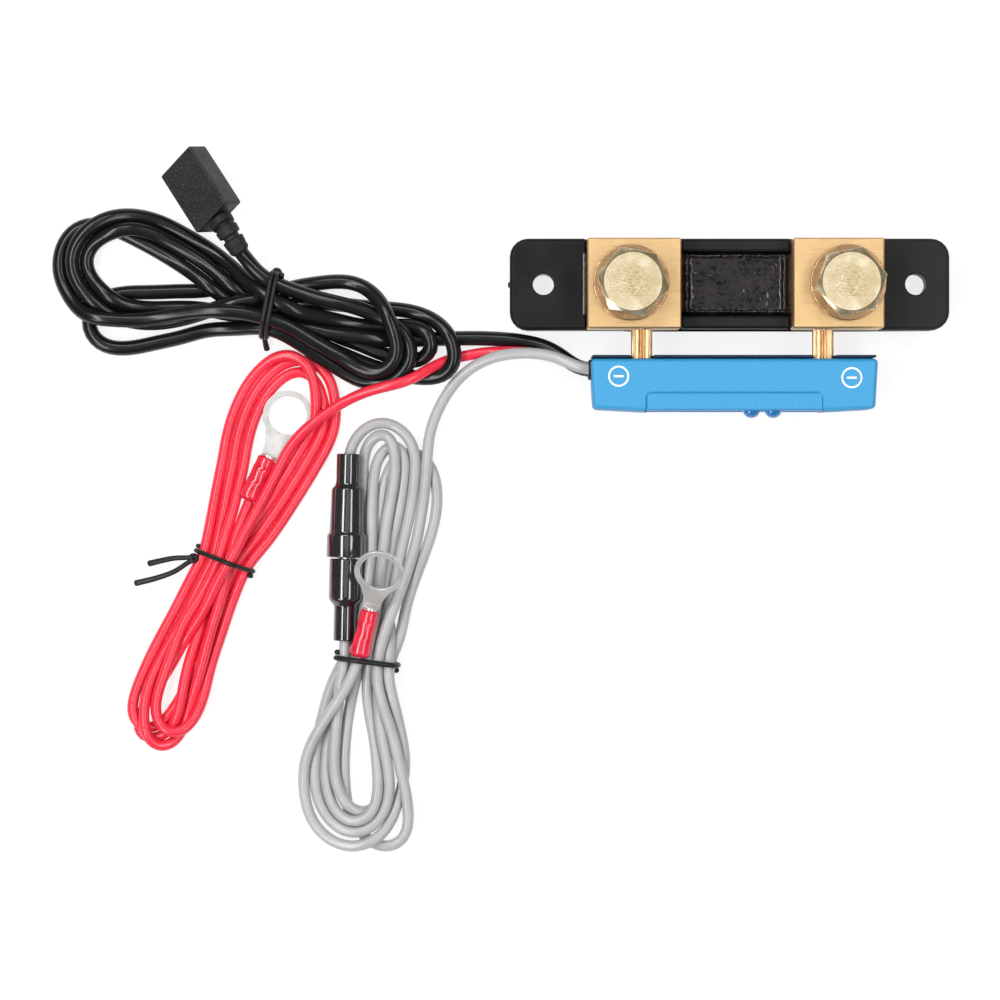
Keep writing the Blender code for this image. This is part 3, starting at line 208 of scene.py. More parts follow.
SUPPLY_ROUTE = [
    # lead, under the grey one, over the black hank and the red ring terminal
    (-33.4, -23.3, 9.7), (-36.6, -23.3, 9.7), (-39.9, -23.3, 9.7), (-42.8, -22.1, 9.4), (-46.2, -20.1, 8.4),
    (-50, -19.1, 7.2), (-55, -18.5, 5.6), (-60, -18.2, 3.6), (-66, -18.3, 2), (-70, -19, 1.9),
    (-75, -20.1, 3.6), (-80, -21.4, 6), (-85, -23.1, 7.6), (-90, -24.9, 8.6), (-95, -26.8, 8.4),
    (-100, -28.9, 7), (-105, -31.4, 5.6), (-110, -34.4, 5.2), (-115, -38.1, 5.6), (-118.2, -41.2, 5.8),
    (-120.7, -44.7, 6), (-123.4, -50, 6.4), (-125.9, -54.8, 6.6), (-128.5, -60, 6.4), (-131, -64.7, 6.2),
    (-134, -70, 6.2), (-136.3, -75.2, 6.2),
    # low inner loop, and up to the upper front loop
    (-138.8, -80, 5.4), (-142, -86, 4.4), (-145.6, -92, 3.2), (-149.4, -98, 2), (-153.2, -104.5, 1.5),
    (-157.2, -110.6, 1.5), (-160.4, -115.6, 1.5), (-161.6, -120, 1.5), (-159.4, -123.6, 1.5),
    (-155.2, -123.2, 1.5), (-151.9, -118.6, 1.5), (-149.6, -111.4, 1.5), (-147.4, -104.4, 1.5),
    (-145, -97.4, 1.5), (-142.2, -90.4, 1.5), (-139.2, -83.4, 1.6), (-135.5, -76.2, 1.9),
    (-132.5, -71.5, 1.9), (-129, -66, 1.6), (-124.1, -58, 1.5), (-119.3, -50, 1.5), (-116, -43.2, 1.5),
    (-114, -38, 1.6), (-113, -33, 2), (-112.9, -27.5, 3.2), (-114.1, -22.9, 4.2), (-116.7, -19.9, 4.4),
    (-120.4, -18.8, 4.4), (-124.9, -20.4, 4.2), (-129.2, -24.4, 3.4), (-133.4, -30.8, 2.2),
    (-136.8, -40, 1.6), (-138.6, -50, 1.5), (-140.4, -60, 1.6), (-142.6, -68, 1.9), (-144.6, -74.2, 2.2),
    # outer left lower loop, and up to the upper inner loop
    (-146.8, -79, 2), (-149, -84, 1.8), (-151.9, -90, 1.6), (-157.4, -100, 1.5), (-161.8, -110, 1.5),
    (-163.1, -116, 1.5), (-161.8, -120.4, 1.5), (-158.6, -122.4, 1.5), (-155.4, -121.6, 1.5),
    (-152.6, -119, 1.5), (-149.9, -114.2, 1.5), (-147.6, -108.5, 1.5), (-145.6, -102.6, 1.5),
    (-142.8, -94.2, 1.6), (-139.8, -86, 1.7), (-136.6, -79.6, 1.8), (-134, -75, 2), (-131, -70.9, 2.2),
    (-126.6, -65, 2), (-122.3, -58, 1.5), (-118.5, -52, 1.5), (-115.3, -46, 1.5), (-113.2, -41, 1.5),
    (-112.2, -36, 1.5), (-112.5, -31, 1.5), (-113.6, -26.5, 1.6), (-115.5, -23.3, 1.7),
    (-118.1, -22.3, 1.8), (-121.5, -23.5, 1.8), (-125, -26.5, 1.8), (-128.5, -31.7, 1.6),
    (-131.6, -40, 1.5), (-133.2, -50, 1.5), (-135.2, -60, 2), (-137, -68, 3.6), (-139.2, -75.5, 5.4),
    # front lower loop, and up to the outer upper loop
    (-141.6, -81, 5.4), (-144.3, -86.6, 5.2), (-147.2, -92.2, 4.8), (-151.5, -100.6, 4.6),
    (-155, -108, 4.6), (-157.2, -114, 4.6), (-157.2, -118, 4.6), (-155.5, -121.4, 4.6),
    (-152.5, -122.8, 4.6), (-149.5, -121.7, 4.2), (-146.4, -117, 3.2), (-144.1, -110, 1.8),
    (-142.1, -103, 1.5), (-139.5, -95, 1.5), (-136.9, -87, 1.6), (-134.4, -80.5, 2), (-132.4, -77, 2.4),
    (-130, -74, 2), (-126, -68.6, 1.6), (-121.2, -61, 1.5), (-117, -54, 1.5), (-113.8, -48.3, 1.5),
    (-111.3, -43, 1.5), (-109.6, -37, 1.5), (-109, -31, 1.5), (-109.4, -26.2, 1.5), (-111.6, -22.6, 1.6),
    (-116, -20.6, 1.6), (-121.8, -21.5, 1.8), (-127, -25.7, 2.4), (-131, -31.4, 3.2), (-134.3, -40, 3.4),
    (-135.9, -50, 3.4), (-137.8, -60, 3.6), (-139.6, -67, 4.2), (-141.8, -74.8, 5),
    # lowest loop, and up to the ring terminal
    (-144.2, -79.6, 4.6), (-147.1, -85.2, 4.2), (-150.5, -92, 4.2), (-153.7, -98.2, 4.4),
    (-157.2, -105.4, 4.6), (-159.6, -112.4, 4.6), (-160.6, -119, 4.8), (-159.8, -123.8, 4.2),
    (-156.4, -126.6, 3.8), (-152.2, -125.6, 2.6), (-148.8, -120.6, 1.8), (-147, -112.4, 1.5),
    (-145.2, -105, 1.5), (-142.2, -95, 2.4), (-139.4, -86, 3.8), (-137.8, -79, 3.2), (-136.8, -72.5, 2.4),
    (-135.4, -67, 2.4), (-133.3, -62.6, 2.6), (-131.3, -58.6, 2.7), (-129.9, -55.6, 2.7),
    (-128.65, -52.8, 2.7),
]

SENSE_ROUTE = [
    # lead, over the other two and down onto its hank
    (-33.4, -23.3, 13.5), (-36.6, -23.3, 13.5), (-39.9, -23.3, 13.5), (-42.8, -22.2, 13.1),
    (-46.4, -20.4, 12), (-50, -19.2, 10.6), (-55, -18.7, 8.9), (-60, -18.9, 7), (-65, -19.9, 5.6),
    (-70, -22.2, 4.9), (-75, -26.5, 3.4), (-79, -32.5, 2), (-82, -39.5, 2), (-83.4, -47, 3.8),
    (-84.2, -55, 4.6), (-84.6, -62, 4.6), (-85.7, -70, 4.8), (-87.8, -77, 5.6), (-91, -84.5, 6.4),
    (-94, -92, 6.8), (-96.2, -99.5, 6.8), (-96.7, -104, 6.6),
    # small right lower loop
    (-96.5, -109, 5.6), (-95.4, -115.5, 4.9), (-93.3, -122, 4.8), (-91.2, -129.4, 4.8),
    (-89.1, -137.6, 4.6), (-87.9, -145.4, 3.2), (-88.4, -150.6, 2), (-91.2, -153.7, 1.6),
    (-95.4, -153.9, 1.6), (-99.2, -151.6, 1.6), (-102.3, -147.6, 1.6), (-104.2, -142, 1.6),
    (-105.2, -135, 1.6), (-105.3, -128, 1.6), (-104.7, -120, 1.6), (-103.6, -112, 1.6), (-102.2, -104.5, 2),
    # right upper loop
    (-100.2, -96, 1.8), (-98.6, -86, 1.6), (-97.6, -76, 1.6), (-96.8, -66, 1.6), (-95, -56, 1.6),
    (-92, -48.6, 1.6), (-88.4, -45.6, 1.6), (-84.6, -46.2, 1.6), (-81.4, -50.6, 1.6), (-80, -57, 1.6),
    (-80.3, -62.5, 1.6), (-81.7, -68.6, 1.6), (-84.9, -77, 1.6), (-88.3, -86, 1.8), (-91.2, -95.6, 2.2),
    (-92.6, -104.4, 2.2),
    # middle lower loop
    (-93.4, -112, 1.8), (-94, -120, 1.6), (-94.4, -128, 1.6), (-94.6, -135, 1.6), (-95.2, -140.6, 1.6),
    (-97.2, -144.3, 1.6), (-100.4, -145.7, 1.8), (-104, -144.2, 2.6), (-106.7, -140.2, 3.2),
    (-108.3, -134, 3.4), (-108.5, -128, 3.4), (-107.9, -120, 3.8), (-106.8, -112, 4.6),
    (-105.6, -104.6, 5.2),
    # into the fuse holder's cap
    (-105.2, -99.4, 5.4), (-105.15, -96.6, 5.5), (-105.1, -93.2, 5.5),
]

FUSED_ROUTE = [
    # arch out of the fuse holder's body
    (-104.2, -50.2, 5.5), (-104.12, -47.8, 5.5), (-103.9, -45.6, 5.5), (-102.4, -42.3, 5.4),
    (-99.6, -39.6, 5.2), (-95, -38, 5), (-90.6, -39.4, 4.8), (-87.7, -43.4, 4.8), (-86.6, -49, 4.8),
    (-87, -56, 4.8), (-88.3, -64.6, 4.8), (-89.9, -72, 4.8), (-91.4, -80, 4.6), (-93.2, -88, 4.2),
    (-94.6, -96, 3.8), (-95.2, -104, 3.8),
    # second lower loop
    (-95.4, -112, 4.2), (-94.9, -120, 4.2), (-93.8, -128, 4.2), (-93.3, -136, 4.2), (-94.5, -142.4, 4.2),
    (-97.6, -146.9, 4.2), (-102, -149.1, 4.2), (-106.2, -148.5, 4.2), (-110.1, -145.4, 4.2),
    (-112.7, -140, 4.2), (-113.2, -134, 4.2), (-112.1, -127, 4.2), (-109.2, -117.6, 3.8),
    (-107, -109.6, 2.8), (-106.2, -104, 2.2),
    # left upper loop, under the fuse holder's edge
    (-101, -96, 2.4), (-99.9, -86, 1.8), (-99.6, -75, 1.6), (-100.2, -62, 1.8), (-100.4, -53, 2.2),
    (-100, -46.6, 3.2), (-98, -41.8, 4), (-94.6, -39.8, 4.4), (-91.2, -41.6, 4.6), (-90.2, -46.6, 4.6),
    (-91.2, -53, 4.6), (-92.8, -59.4, 4.6), (-94.4, -66, 4.6), (-95.7, -74, 4.6), (-97.2, -84, 4.6),
    (-98.2, -94, 4.2), (-98.6, -104, 3.6),
    # hidden lower loop
    (-97.8, -112, 2.2), (-96.4, -121, 1.6), (-95.4, -130, 1.6), (-94.8, -138, 2.4), (-96.2, -144, 2.8),
    (-99.6, -147.3, 2.4), (-104.2, -147, 1.8), (-108.6, -143, 1.6), (-110.8, -136, 1.6),
    (-110.8, -127, 1.6), (-109, -117, 1.6), (-107.4, -110, 1.7), (-104.4, -103, 2),
    # middle upper loop
    (-99.8, -95, 4.4), (-98.6, -86, 4.4), (-98.4, -77, 4.2), (-98.8, -66, 3.4), (-98.4, -57, 2.2),
    (-97.2, -49.4, 1.8), (-94.2, -44.6, 1.8), (-90.2, -43.8, 2.2), (-87.4, -47.2, 2.4), (-87.4, -53, 2.6),
    (-89.6, -62, 3.2), (-92.7, -72, 3.8), (-94.3, -81, 4.2), (-94.4, -90, 3.4), (-93.6, -98, 3.2),
    (-93, -104.4, 4.4),
    # big lower loop, and up to the ring terminal
    (-92.4, -110, 3.8), (-91.5, -116, 3), (-90, -122.4, 2), (-88.8, -129, 1.6), (-88.9, -135.6, 1.6),
    (-90.4, -141, 1.6), (-92.8, -146.8, 2.2), (-96.2, -151.3, 3.6), (-101, -153.7, 3.8),
    (-106, -153.6, 3.6), (-111.3, -150.6, 3.6), (-114.9, -145.2, 4.4), (-116, -138.6, 4.6),
    (-115.7, -131.6, 4.8), (-113.4, -124.6, 5.6), (-110, -118.4, 6.6), (-105.6, -111.4, 7.4),
    (-102.3, -105, 7.8), (-100.98, -100.9, 8.9), (-100.3, -98.2, 9.25), (-99.6, -95.3, 9.25),
]


# ---------------------------------------------------------------- rope relaxation


def unit(vector):
    vector = np.asarray(vector, float)
    return vector / np.linalg.norm(vector)


def distances(points):
    """How far along a line each of its points lies."""
    return np.concatenate([[0.0], np.cumsum(np.linalg.norm(np.diff(points, axis=0), axis=1))])


def resampled(points, length, even):
    """The places on a line at the given distances along it."""
    return np.stack([np.interp(even, length, points[:, k]) for k in range(points.shape[1])], axis=1)


def smooth_line(points, spacing):
    """Points at even spacing on the smooth curve through given points."""
    route = np.asarray(points, float)
    ahead = np.vstack([2 * route[0] - route[1], route, 2 * route[-1] - route[-2]])
    steps = np.linspace(0.0, 1.0, 10, endpoint=False)[:, None]
    fine = []
    for a, b, c, d in zip(ahead, ahead[1:], ahead[2:], ahead[3:]):
        fine.append(0.5 * (2 * b + (c - a) * steps + (2 * a - 5 * b + 4 * c - d) * steps ** 2
                           + (3 * b - a - 3 * c + d) * steps ** 3))
    fine = np.vstack(fine + [route[-1:]])
    length = distances(fine)
    count = max(3, int(round(length[-1] / spacing)) + 1)
    return resampled(fine, length, np.linspace(0.0, length[-1], count))


def closest_between(p, u, q, v):
    """The nearest points of many pairs of segments, as fractions along each."""
    w = p - q
    a = (u * u).sum(1) + 1e-9
    b = (u * v).sum(1)
    c = (v * v).sum(1) + 1e-9
    d = (u * w).sum(1)
    e = (v * w).sum(1)
    det = np.maximum(a * c - b * b, 1e-6)
    s = np.clip((b * e - c * d) / det, 0.0, 1.0)
    t = np.clip((b * s + e) / c, 0.0, 1.0)
    s = np.clip((b * t - d) / a, 0.0, 1.0)
    return s, t


OWN_END = 17.0  # so near its ends a cord is inside its own terminal
HOLD_FADE = 8.0  # a held end turns free over this length
SINK = 0.10
PULL_EARLY, PULL_LATE = 0.06, 0.03  # towards the route, in plan
EVENING = 0.45
PUSH = 1.25
PAIRING_EVERY = 6
PAIRING_MARGIN = 1.2


class Ropes:
    """Cords and fixed shapes as chains of capsules that gravity settles onto the floor and each other."""

    def __init__(self):
        self.chains = []

    def add(self, points, radius, hold_start=0.0, hold_end=0.0, fixed=False):
        """Adds a chain, held near its ends or fixed all along, and returns its number."""
        points = np.asarray(points, float)
        length = distances(points)
        if fixed:
            free = np.zeros(len(points))
        else:
            from_start = np.clip((length - hold_start) / HOLD_FADE, 0.0, 1.0)
            from_end = np.clip((length[-1] - hold_end - length) / HOLD_FADE, 0.0, 1.0)
            free = np.minimum(from_start, from_end)
        self.chains.append({
            "place": points,
            "radius": np.broadcast_to(np.asarray(radius, float), len(points)),
            "free": free,
            "along": length,
            "ending": np.minimum(length, length[-1] - length) < OWN_END,
            "solid": np.full(len(points), fixed),
        })
        return len(self.chains) - 1

    def gathered(self, key):
        return np.concatenate([chain[key] for chain in self.chains])

    def prepare(self, lifts):
        """Joins the chains into arrays, raises them clear of the floor and lists what may not touch."""
        counts = [len(chain["place"]) for chain in self.chains]
        ends = np.cumsum(counts)
        self.spans = list(zip(ends - counts, ends))
        self.place, self.radius, self.free = (self.gathered(key) for key in ("place", "radius", "free"))
        self.aim = self.place.copy()
        self.first = np.concatenate([np.arange(a, b - 1) for a, b in self.spans])
        inner = np.concatenate([np.arange(a + 1, b - 1) for a, b in self.spans])
        self.inner = inner[self.free[inner] > 0]
        self.base = self.radius.copy()
        for x, y, rise, reach in lifts:
            distance = np.hypot(self.place[:, 0] - x, self.place[:, 1] - y)
            self.base = np.maximum(self.base, self.radius + rise * np.exp(-(distance / reach) ** 4))
        self.place[:, 2] = self.base + (self.place[:, 2] - self.base) * (1.0 + 0.5 * self.free)
        first = self.first
        self.thick = 0.5 * (self.radius[first] + self.radius[first + 1])
        self.reach = 0.5 * np.linalg.norm(self.place[first + 1] - self.place[first], axis=1) + self.thick
        self.banned = self.never_touching()

    def never_touching(self):
        """Pairs of segments that are neighbours, both fixed, or a cord's end and a fixed shape."""
        first, free, along = self.first, self.free, self.gathered("along")
        which = np.repeat(np.arange(len(self.spans)), [b - a for a, b in self.spans])[first]
        middle = 0.5 * (along[first] + along[first + 1])
        same = which[:, None] == which[None, :]
        near = np.abs(middle[:, None] - middle[None, :]) < 5.0 * self.thick[:, None]
        fixed_pair = (free[first][:, None] + free[first][None, :]) == 0
        ending, solid = self.gathered("ending")[first], self.gathered("solid")[first]
        own = (ending[:, None] & solid[None, :]) | (solid[:, None] & ending[None, :])
        return (same & near) | fixed_pair | own | ~np.triu(np.ones_like(same), 1)

    def near_pairs(self):
        """The first points of segments that are close, and how far apart their middles have to stay."""
        first, reach = self.first, self.reach
        middle = 0.5 * (self.place[first] + self.place[first + 1])
        square = (middle ** 2).sum(1)
        apart = square[:, None] + square[None, :] - 2 * middle @ middle.T
        limit = (reach[:, None] + reach[None, :] + PAIRING_MARGIN) ** 2
        one, two = np.nonzero((apart < limit) & ~self.banned)
        return first[one], first[two], self.thick[one] + self.thick[two]

    def relax(self, late):
        """Sinks the cords, draws them back to their routes and evens out their bends."""
        place, aim, inner, loose = self.place, self.aim, self.inner, self.free[:, None]
        place[:, 2] -= SINK * (1.0 - 0.8 * late) * self.free
        place[:, :2] += (PULL_EARLY if late < 0.7 else PULL_LATE) * (aim[:, :2] - place[:, :2]) * loose
        drift = place.copy()
        drift[:, :2] -= aim[:, :2]
        mean = 0.5 * (drift[inner - 1] + drift[inner + 1])
        shift = (mean - drift[inner]) * loose[inner]
        place[inner] += EVENING * shift

    def squeeze(self, ties):
        """Draws the cords that a tie holds towards its middle."""
        for centre, way, half, reach in ties:
            ahead = unit(way)
            across = np.array([-ahead[1], ahead[0]])
            aimed = self.aim[:, :2] - np.array(centre)
            held = (np.abs(aimed @ across) < half + 3.0) & (np.abs(aimed @ ahead) < 2.5 * reach)
            held &= self.free > 0
            offset = self.place[held, :2] - np.array(centre)
            reached = offset @ across
            room = half - self.radius[held]
            over = np.sign(reached) * np.maximum(np.abs(reached) - room, 0.0)
            grip = 0.5 * np.exp(-((offset @ ahead) / reach) ** 4)
            self.place[held, :2] -= (grip * over)[:, None] * across

    def push_apart(self, i, j, gap):
        """Parts the segments that overlap, and returns whether any did."""
        place, free = self.place, self.free
        u = place[i + 1] - place[i]
        v = place[j + 1] - place[j]
        s, t = closest_between(place[i], u, place[j], v)
        s, t = s[:, None], t[:, None]
        line = place[i] + s * u - place[j] - t * v
        distance = np.linalg.norm(line, axis=1)
        hit = distance < gap
        if not hit.any():
            return False
        push = line[hit] / np.maximum(distance[hit], 1e-4)[:, None]
        push *= 0.5 * (gap[hit] - distance[hit])[:, None]
        ih, jh, sh, th = i[hit], j[hit], s[hit], t[hit]
        weight_i = np.maximum(free[ih], free[ih + 1])[:, None]
        weight_j = np.maximum(free[jh], free[jh + 1])[:, None]
        total = np.maximum(weight_i + weight_j, 1e-6) / 2
        move = np.zeros_like(place)
        count = np.zeros(len(place))
        for index, part, way in ((ih, 1 - sh, weight_i / total), (ih + 1, sh, weight_i / total),
                                 (jh, 1 - th, -weight_j / total), (jh + 1, th, -weight_j / total)):
            np.add.at(move, index, push * part * way)
            np.add.at(count, index, part[:, 0])
        place += PUSH * move / np.maximum(count, 1.0)[:, None] * (free[:, None] > 0)
        return True

    def settle(self, steps, lifts, ties):
        self.prepare(lifts)
        place, moving = self.place, self.free > 0
        for step in range(steps):
            if step % PAIRING_EVERY == 0:
                pairs = self.near_pairs()
            self.relax(step / steps)
            self.squeeze(ties)
            if self.push_apart(*pairs):
                self.push_apart(*pairs)
            place[:, 2] = np.where(moving, np.maximum(place[:, 2], self.base), place[:, 2])

    def line(self, k):
        a, b = self.spans[k]
        return self.place[a:b]


# ---------------------------------------------------------------- cords and ties

FUSE_HOLDER = [  # distance down from the upper end, radius
    (0.0, 3.2), (4.0, 3.2), (8.4, 3.4), (10.0, 4.4), (14.0, 4.55), (18.0, 4.65), (21.0, 4.75), (22.6, 5.4),
    (25.4, 5.45), (28.2, 5.4), (30.0, 4.6), (34.0, 4.6), (38.0, 4.5), (41.0, 3.8), (43.0, 3.1), (47.0, 3.05),
    (51.3, 3.05),
]
FUSE_TOP = np.array([-104.1, -46.2, 5.5])
FUSE_BOTTOM = np.array([-105.2, -97.5, 5.5])
SUPPLY_EYE = np.array([-120.9, -35.6, 2.2])
SUPPLY_SLEEVE_WAY = np.array([-5.6, -11.9, 0.0])
SENSE_EYE = np.array([-95.0, -76.6, 8.75])
SENSE_SLEEVE_WAY = np.array([-3.3, -13.4, 0.0])
EYE_TILT = {"supply": 0.0, "sense": math.radians(33)}
EYE_MIDDLE_RADIUS = 6.0

# where each tie sits, the way its cords run there, half the width that it holds and its wire's radius
TIES = {
    "data": ((-125.5, -5.5), (-0.976, 0.217), 8.1, 0.65),
    "supply": ((-138.3, -75.5), (-0.388, -0.922), 7.2, 0.65),
    "sense": ((-99.05, -103.0), (-0.17, -0.985), 7.5, 0.75),
}
TIE_REACH = 4.0
TIE_LIFT_REACH = 9.0
RING_WIRE = 0.6
TERMINAL_AXIS_HEIGHT = np.array([0.0, 0.0, 0.5])  # a sleeve's middle lies this far above the ring's plane
SLEEVE_STATIONS = (  # distance from the eye, radius
    (8.0, 1.6), (12.0, 2.0), (13.4, 2.45), (17.0, 2.45), (21.0, 2.45), (24.6, 2.3),
)
TERMINALS = (("supply", SUPPLY_EYE, SUPPLY_SLEEVE_WAY), ("sense", SENSE_EYE, SENSE_SLEEVE_WAY))


def eye_frame(way, tilt):
    """The length and width directions of a ring terminal."""
    ahead = unit(way)
    side = np.cross(UP, ahead)
    return ahead, side * math.cos(tilt) + UP * math.sin(tilt)


def add_fixed_shapes(ropes):
    """The fuse holder, ring terminals and their sleeves, which cords rest on or against."""
    along = unit(FUSE_BOTTOM - FUSE_TOP)
    ropes.add([FUSE_TOP + along * d for d, _ in FUSE_HOLDER], [r for _, r in FUSE_HOLDER], fixed=True)
    for name, eye, way in TERMINALS:
        ahead, side = eye_frame(way, EYE_TILT[name])
        turns = np.linspace(0.0, 2 * math.pi, 25)
        ring = [eye + EYE_MIDDLE_RADIUS * (ahead * math.cos(a) + side * math.sin(a)) for a in turns]
        ropes.add(ring, RING_WIRE, fixed=True)
        middle = [eye + TERMINAL_AXIS_HEIGHT + ahead * d for d, _ in SLEEVE_STATIONS]
        ropes.add(middle, [r for _, r in SLEEVE_STATIONS], fixed=True)


ROPE_PLAN = (  # name, route, spacing, diameter, held lengths at its start and end
    ("data", DATA_ROUTE[1:], 2.5, DATA_DIAMETER, 26, 4),
    ("supply", SUPPLY_ROUTE[1:], 2.6, SUPPLY_DIAMETER, 26, 5),
    ("sense", SENSE_ROUTE[1:], 2.6, SENSE_DIAMETER, 26, 6),
    ("fused", FUSED_ROUTE, 2.6, SENSE_DIAMETER, 6, 5),
)


def settle_cords():
    """The four cords' middle lines once they have settled."""
    ropes = Ropes()
    lines = {}
    for name, route, spacing, diameter, hold_start, hold_end in ROPE_PLAN:
        lines[name] = ropes.add(smooth_line(route, spacing), diameter / 2, hold_start, hold_end)
    add_fixed_shapes(ropes)
    lifts = [(x, y, 2 * wire, TIE_LIFT_REACH) for (x, y), _, _, wire in TIES.values()]
    ties = [(centre, way, half, TIE_REACH) for centre, way, half, _ in TIES.values()]
    ropes.settle(320, lifts, ties)
    return {name: soften_line(ropes.line(k)) for name, k in lines.items()}


def soften_line(points):
    """Two passes that round off the small kinks that contacts leave."""
    points = points.copy()
    for _ in range(2):
        points[1:-1] = 0.25 * points[:-2] + 0.5 * points[1:-1] + 0.25 * points[2:]
    return points


def line_length(points):
    return float(np.linalg.norm(np.diff(points, axis=0), axis=1).sum())


def cord_curve(name, points, diameter, material):
    """A cord as one open spline with a round section, and its middle line in millimetres."""
    fine = smooth_line(points, diameter * 0.4)
    data = bpy.data.curves.new(name, "CURVE")
    data.dimensions = "3D"
    data.bevel_depth = diameter / 2 * MM
    data.bevel_resolution = 5
    data.use_fill_caps = True
    spline = data.splines.new("POLY")
    spline.points.add(len(fine) - 1)
    spline.points.foreach_set("co", np.hstack([fine * MM, np.ones((len(fine), 1))]).ravel())
    spline.use_smooth = True
    data.materials.append(material)
    return link(name, data), fine


def link_mesh(name, verts, faces, material, smooth=True):
    """A new piece from vertices in metres."""
    mesh = bpy.data.meshes.new(name)
    mesh.from_pydata([tuple(v) for v in verts], [], faces)
    if smooth:
        mesh.polygons.foreach_set("use_smooth", [True] * len(mesh.polygons))
    mesh.materials.append(material)
    mesh.update()
    return link(name, mesh)


def tube_parts(points, radii, sides=12, squash=None):
    """Vertices and faces of a tube with domed ends; squash gives a share of its thickness per point."""
    points = np.asarray(points, float)
    radii = np.broadcast_to(np.asarray(radii, float), len(points))
    ahead = np.gradient(points, axis=0)
    ahead /= np.linalg.norm(ahead, axis=1)[:, None]
    side = np.cross(ahead[0], [0.0, 0.0, 1.0])
    if np.linalg.norm(side) < 0.2:
        side = np.cross(ahead[0], [0.0, 1.0, 0.0])
    verts, rings = [], []

    def ring(centre, u, v, radius, flat):
        rings.append(len(verts))
        for k in range(sides):
            a = 2 * math.pi * k / sides
            verts.append(centre + radius * (u * math.cos(a) + v * flat * math.sin(a)))

    for n, (centre, way, radius) in enumerate(zip(points, ahead, radii)):
        side = side - way * (side @ way)
        side /= np.linalg.norm(side)
        up = np.cross(way, side)
        flat = 1.0 if squash is None else squash[n]
        if n == 0:
            ring(centre - way * radius * 0.35, side, up, radius * 0.65, flat)
        ring(centre, side, up, radius, flat)
        if n == len(points) - 1:
            ring(centre + way * radius * 0.35, side, up, radius * 0.65, flat)
    faces = []
    for a, b in zip(rings, rings[1:]):
        for k in range(sides):
            faces.append((a + k, a + (k + 1) % sides, b + (k + 1) % sides, b + k))
    faces.append(tuple(reversed(range(rings[0], rings[0] + sides))))
    faces.append(tuple(range(rings[-1], rings[-1] + sides)))
    return verts, faces


def tube_piece(name, paths, material, sides=12):
    """One mesh of several tubes, each given as points, radius and squash."""
    verts, faces = [], []
    for points, radius, squash in paths:
        more_verts, more_faces = tube_parts(points, radius, sides, squash)
        faces += [tuple(i + len(verts) for i in face) for face in more_faces]
        verts += [v * MM for v in more_verts]
    return link_mesh(name, verts, faces, material)


def crossings(lines, centre, way, half_width):
    """Where cords cross the upright plane of a tie, as distance across it, height and radius."""
    way = unit(way)
    across = np.array([-way[1], way[0]])
    found = []
    for points, radius in lines:
        offset = points[:, :2] - np.array(centre)
        depth = offset @ way
        for n in np.nonzero(depth[:-1] * depth[1:] < 0)[0]:
            share = depth[n] / (depth[n] - depth[n + 1])
            hit = points[n] * (1 - share) + points[n + 1] * share
            reach = (hit[:2] - np.array(centre)) @ across
            if abs(reach) < half_width:
                found.append((reach, hit[2], radius))
    return found


def hull_of(points):
    """The convex outline of points in a plane, counter-clockwise."""
    points = sorted(set((round(x, 4), round(y, 4)) for x, y in points))

    def half(sequence):
        chain = []
        for p in sequence:
            while len(chain) > 1:
                (ax, ay), (bx, by) = chain[-2], chain[-1]
                if (bx - ax) * (p[1] - ay) - (by - ay) * (p[0] - ax) > 0:
                    break
                chain.pop()
            chain.append(p)
        return chain[:-1]

    return half(points) + half(points[::-1])


def wrap_path(lines, tie, turns, advance):
    """The path of a wire wound round the cords at a tie."""
    centre, way, half_width, wire = TIES[tie]
    outline = []
    for x, z, radius in crossings(lines, centre, way, half_width + 4.0):
        for k in range(24):
            a = 2 * math.pi * k / 24
            outline.append((x + (radius + wire) * math.cos(a), max(wire, z + (radius + wire) * math.sin(a))))
    hull = np.array(hull_of(outline))
    hull = np.vstack([hull, hull[:1]])
    length = distances(hull)
    loop = resampled(hull, length, np.linspace(0.0, length[-1], 61)[:-1])
    for _ in range(2):
        loop = 0.25 * np.roll(loop, 1, axis=0) + 0.5 * loop + 0.25 * np.roll(loop, -1, axis=0)
    start = int(np.argmax(loop[:, 1] * 0.3 - loop[:, 0]))
    loop = np.roll(loop, -start, axis=0)
    way = unit(way)
    across = np.array([-way[1], way[0]])
    path = []
    for n in range(int(turns * len(loop)) + 1):
        x, z = loop[n % len(loop)]
        shift = advance * (n / len(loop) - turns / 2)
        flat = np.array(centre) + across * x + way * shift
        path.append((flat[0], flat[1], z))
    return np.array(path)


KNOT_RADIUS, KNOT_RISE, KNOT_STEPS_PER_TURN = 0.8, 0.045, 14


def knot_coil(place, wire):
    """The wire's twist on top of a hank."""
    coil = []
    for n in range(40):
        a = 2 * math.pi * n / KNOT_STEPS_PER_TURN
        turn = [KNOT_RADIUS * math.cos(a), KNOT_RADIUS * math.sin(a), KNOT_RISE * n * wire - 0.6]
        coil.append(np.array(place) + np.array(turn))
    return np.array(coil)


def dress_tie(tie, lines, material, turns, tails, knot):
    """The wire round a hank: its wraps, its twist where there is one, and its tails."""
    wire = TIES[tie][3]
    paths = [(wrap_path(lines, tie, turns, 2.1 * wire), wire, None)]
    if knot is not None:
        paths.append((knot_coil(knot, wire), wire, None))
    for tail in tails:
        line = smooth_line(tail, 0.8)
        paths.append((line, np.linspace(wire, wire * 1.3, len(line)), np.linspace(1.0, 0.6, len(line))))
    piece = tube_piece(tie + "_tie_wire", paths, material)
    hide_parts(tie + "_tie")
    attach(piece, ROOT)


# ---------------------------------------------------------------- materials


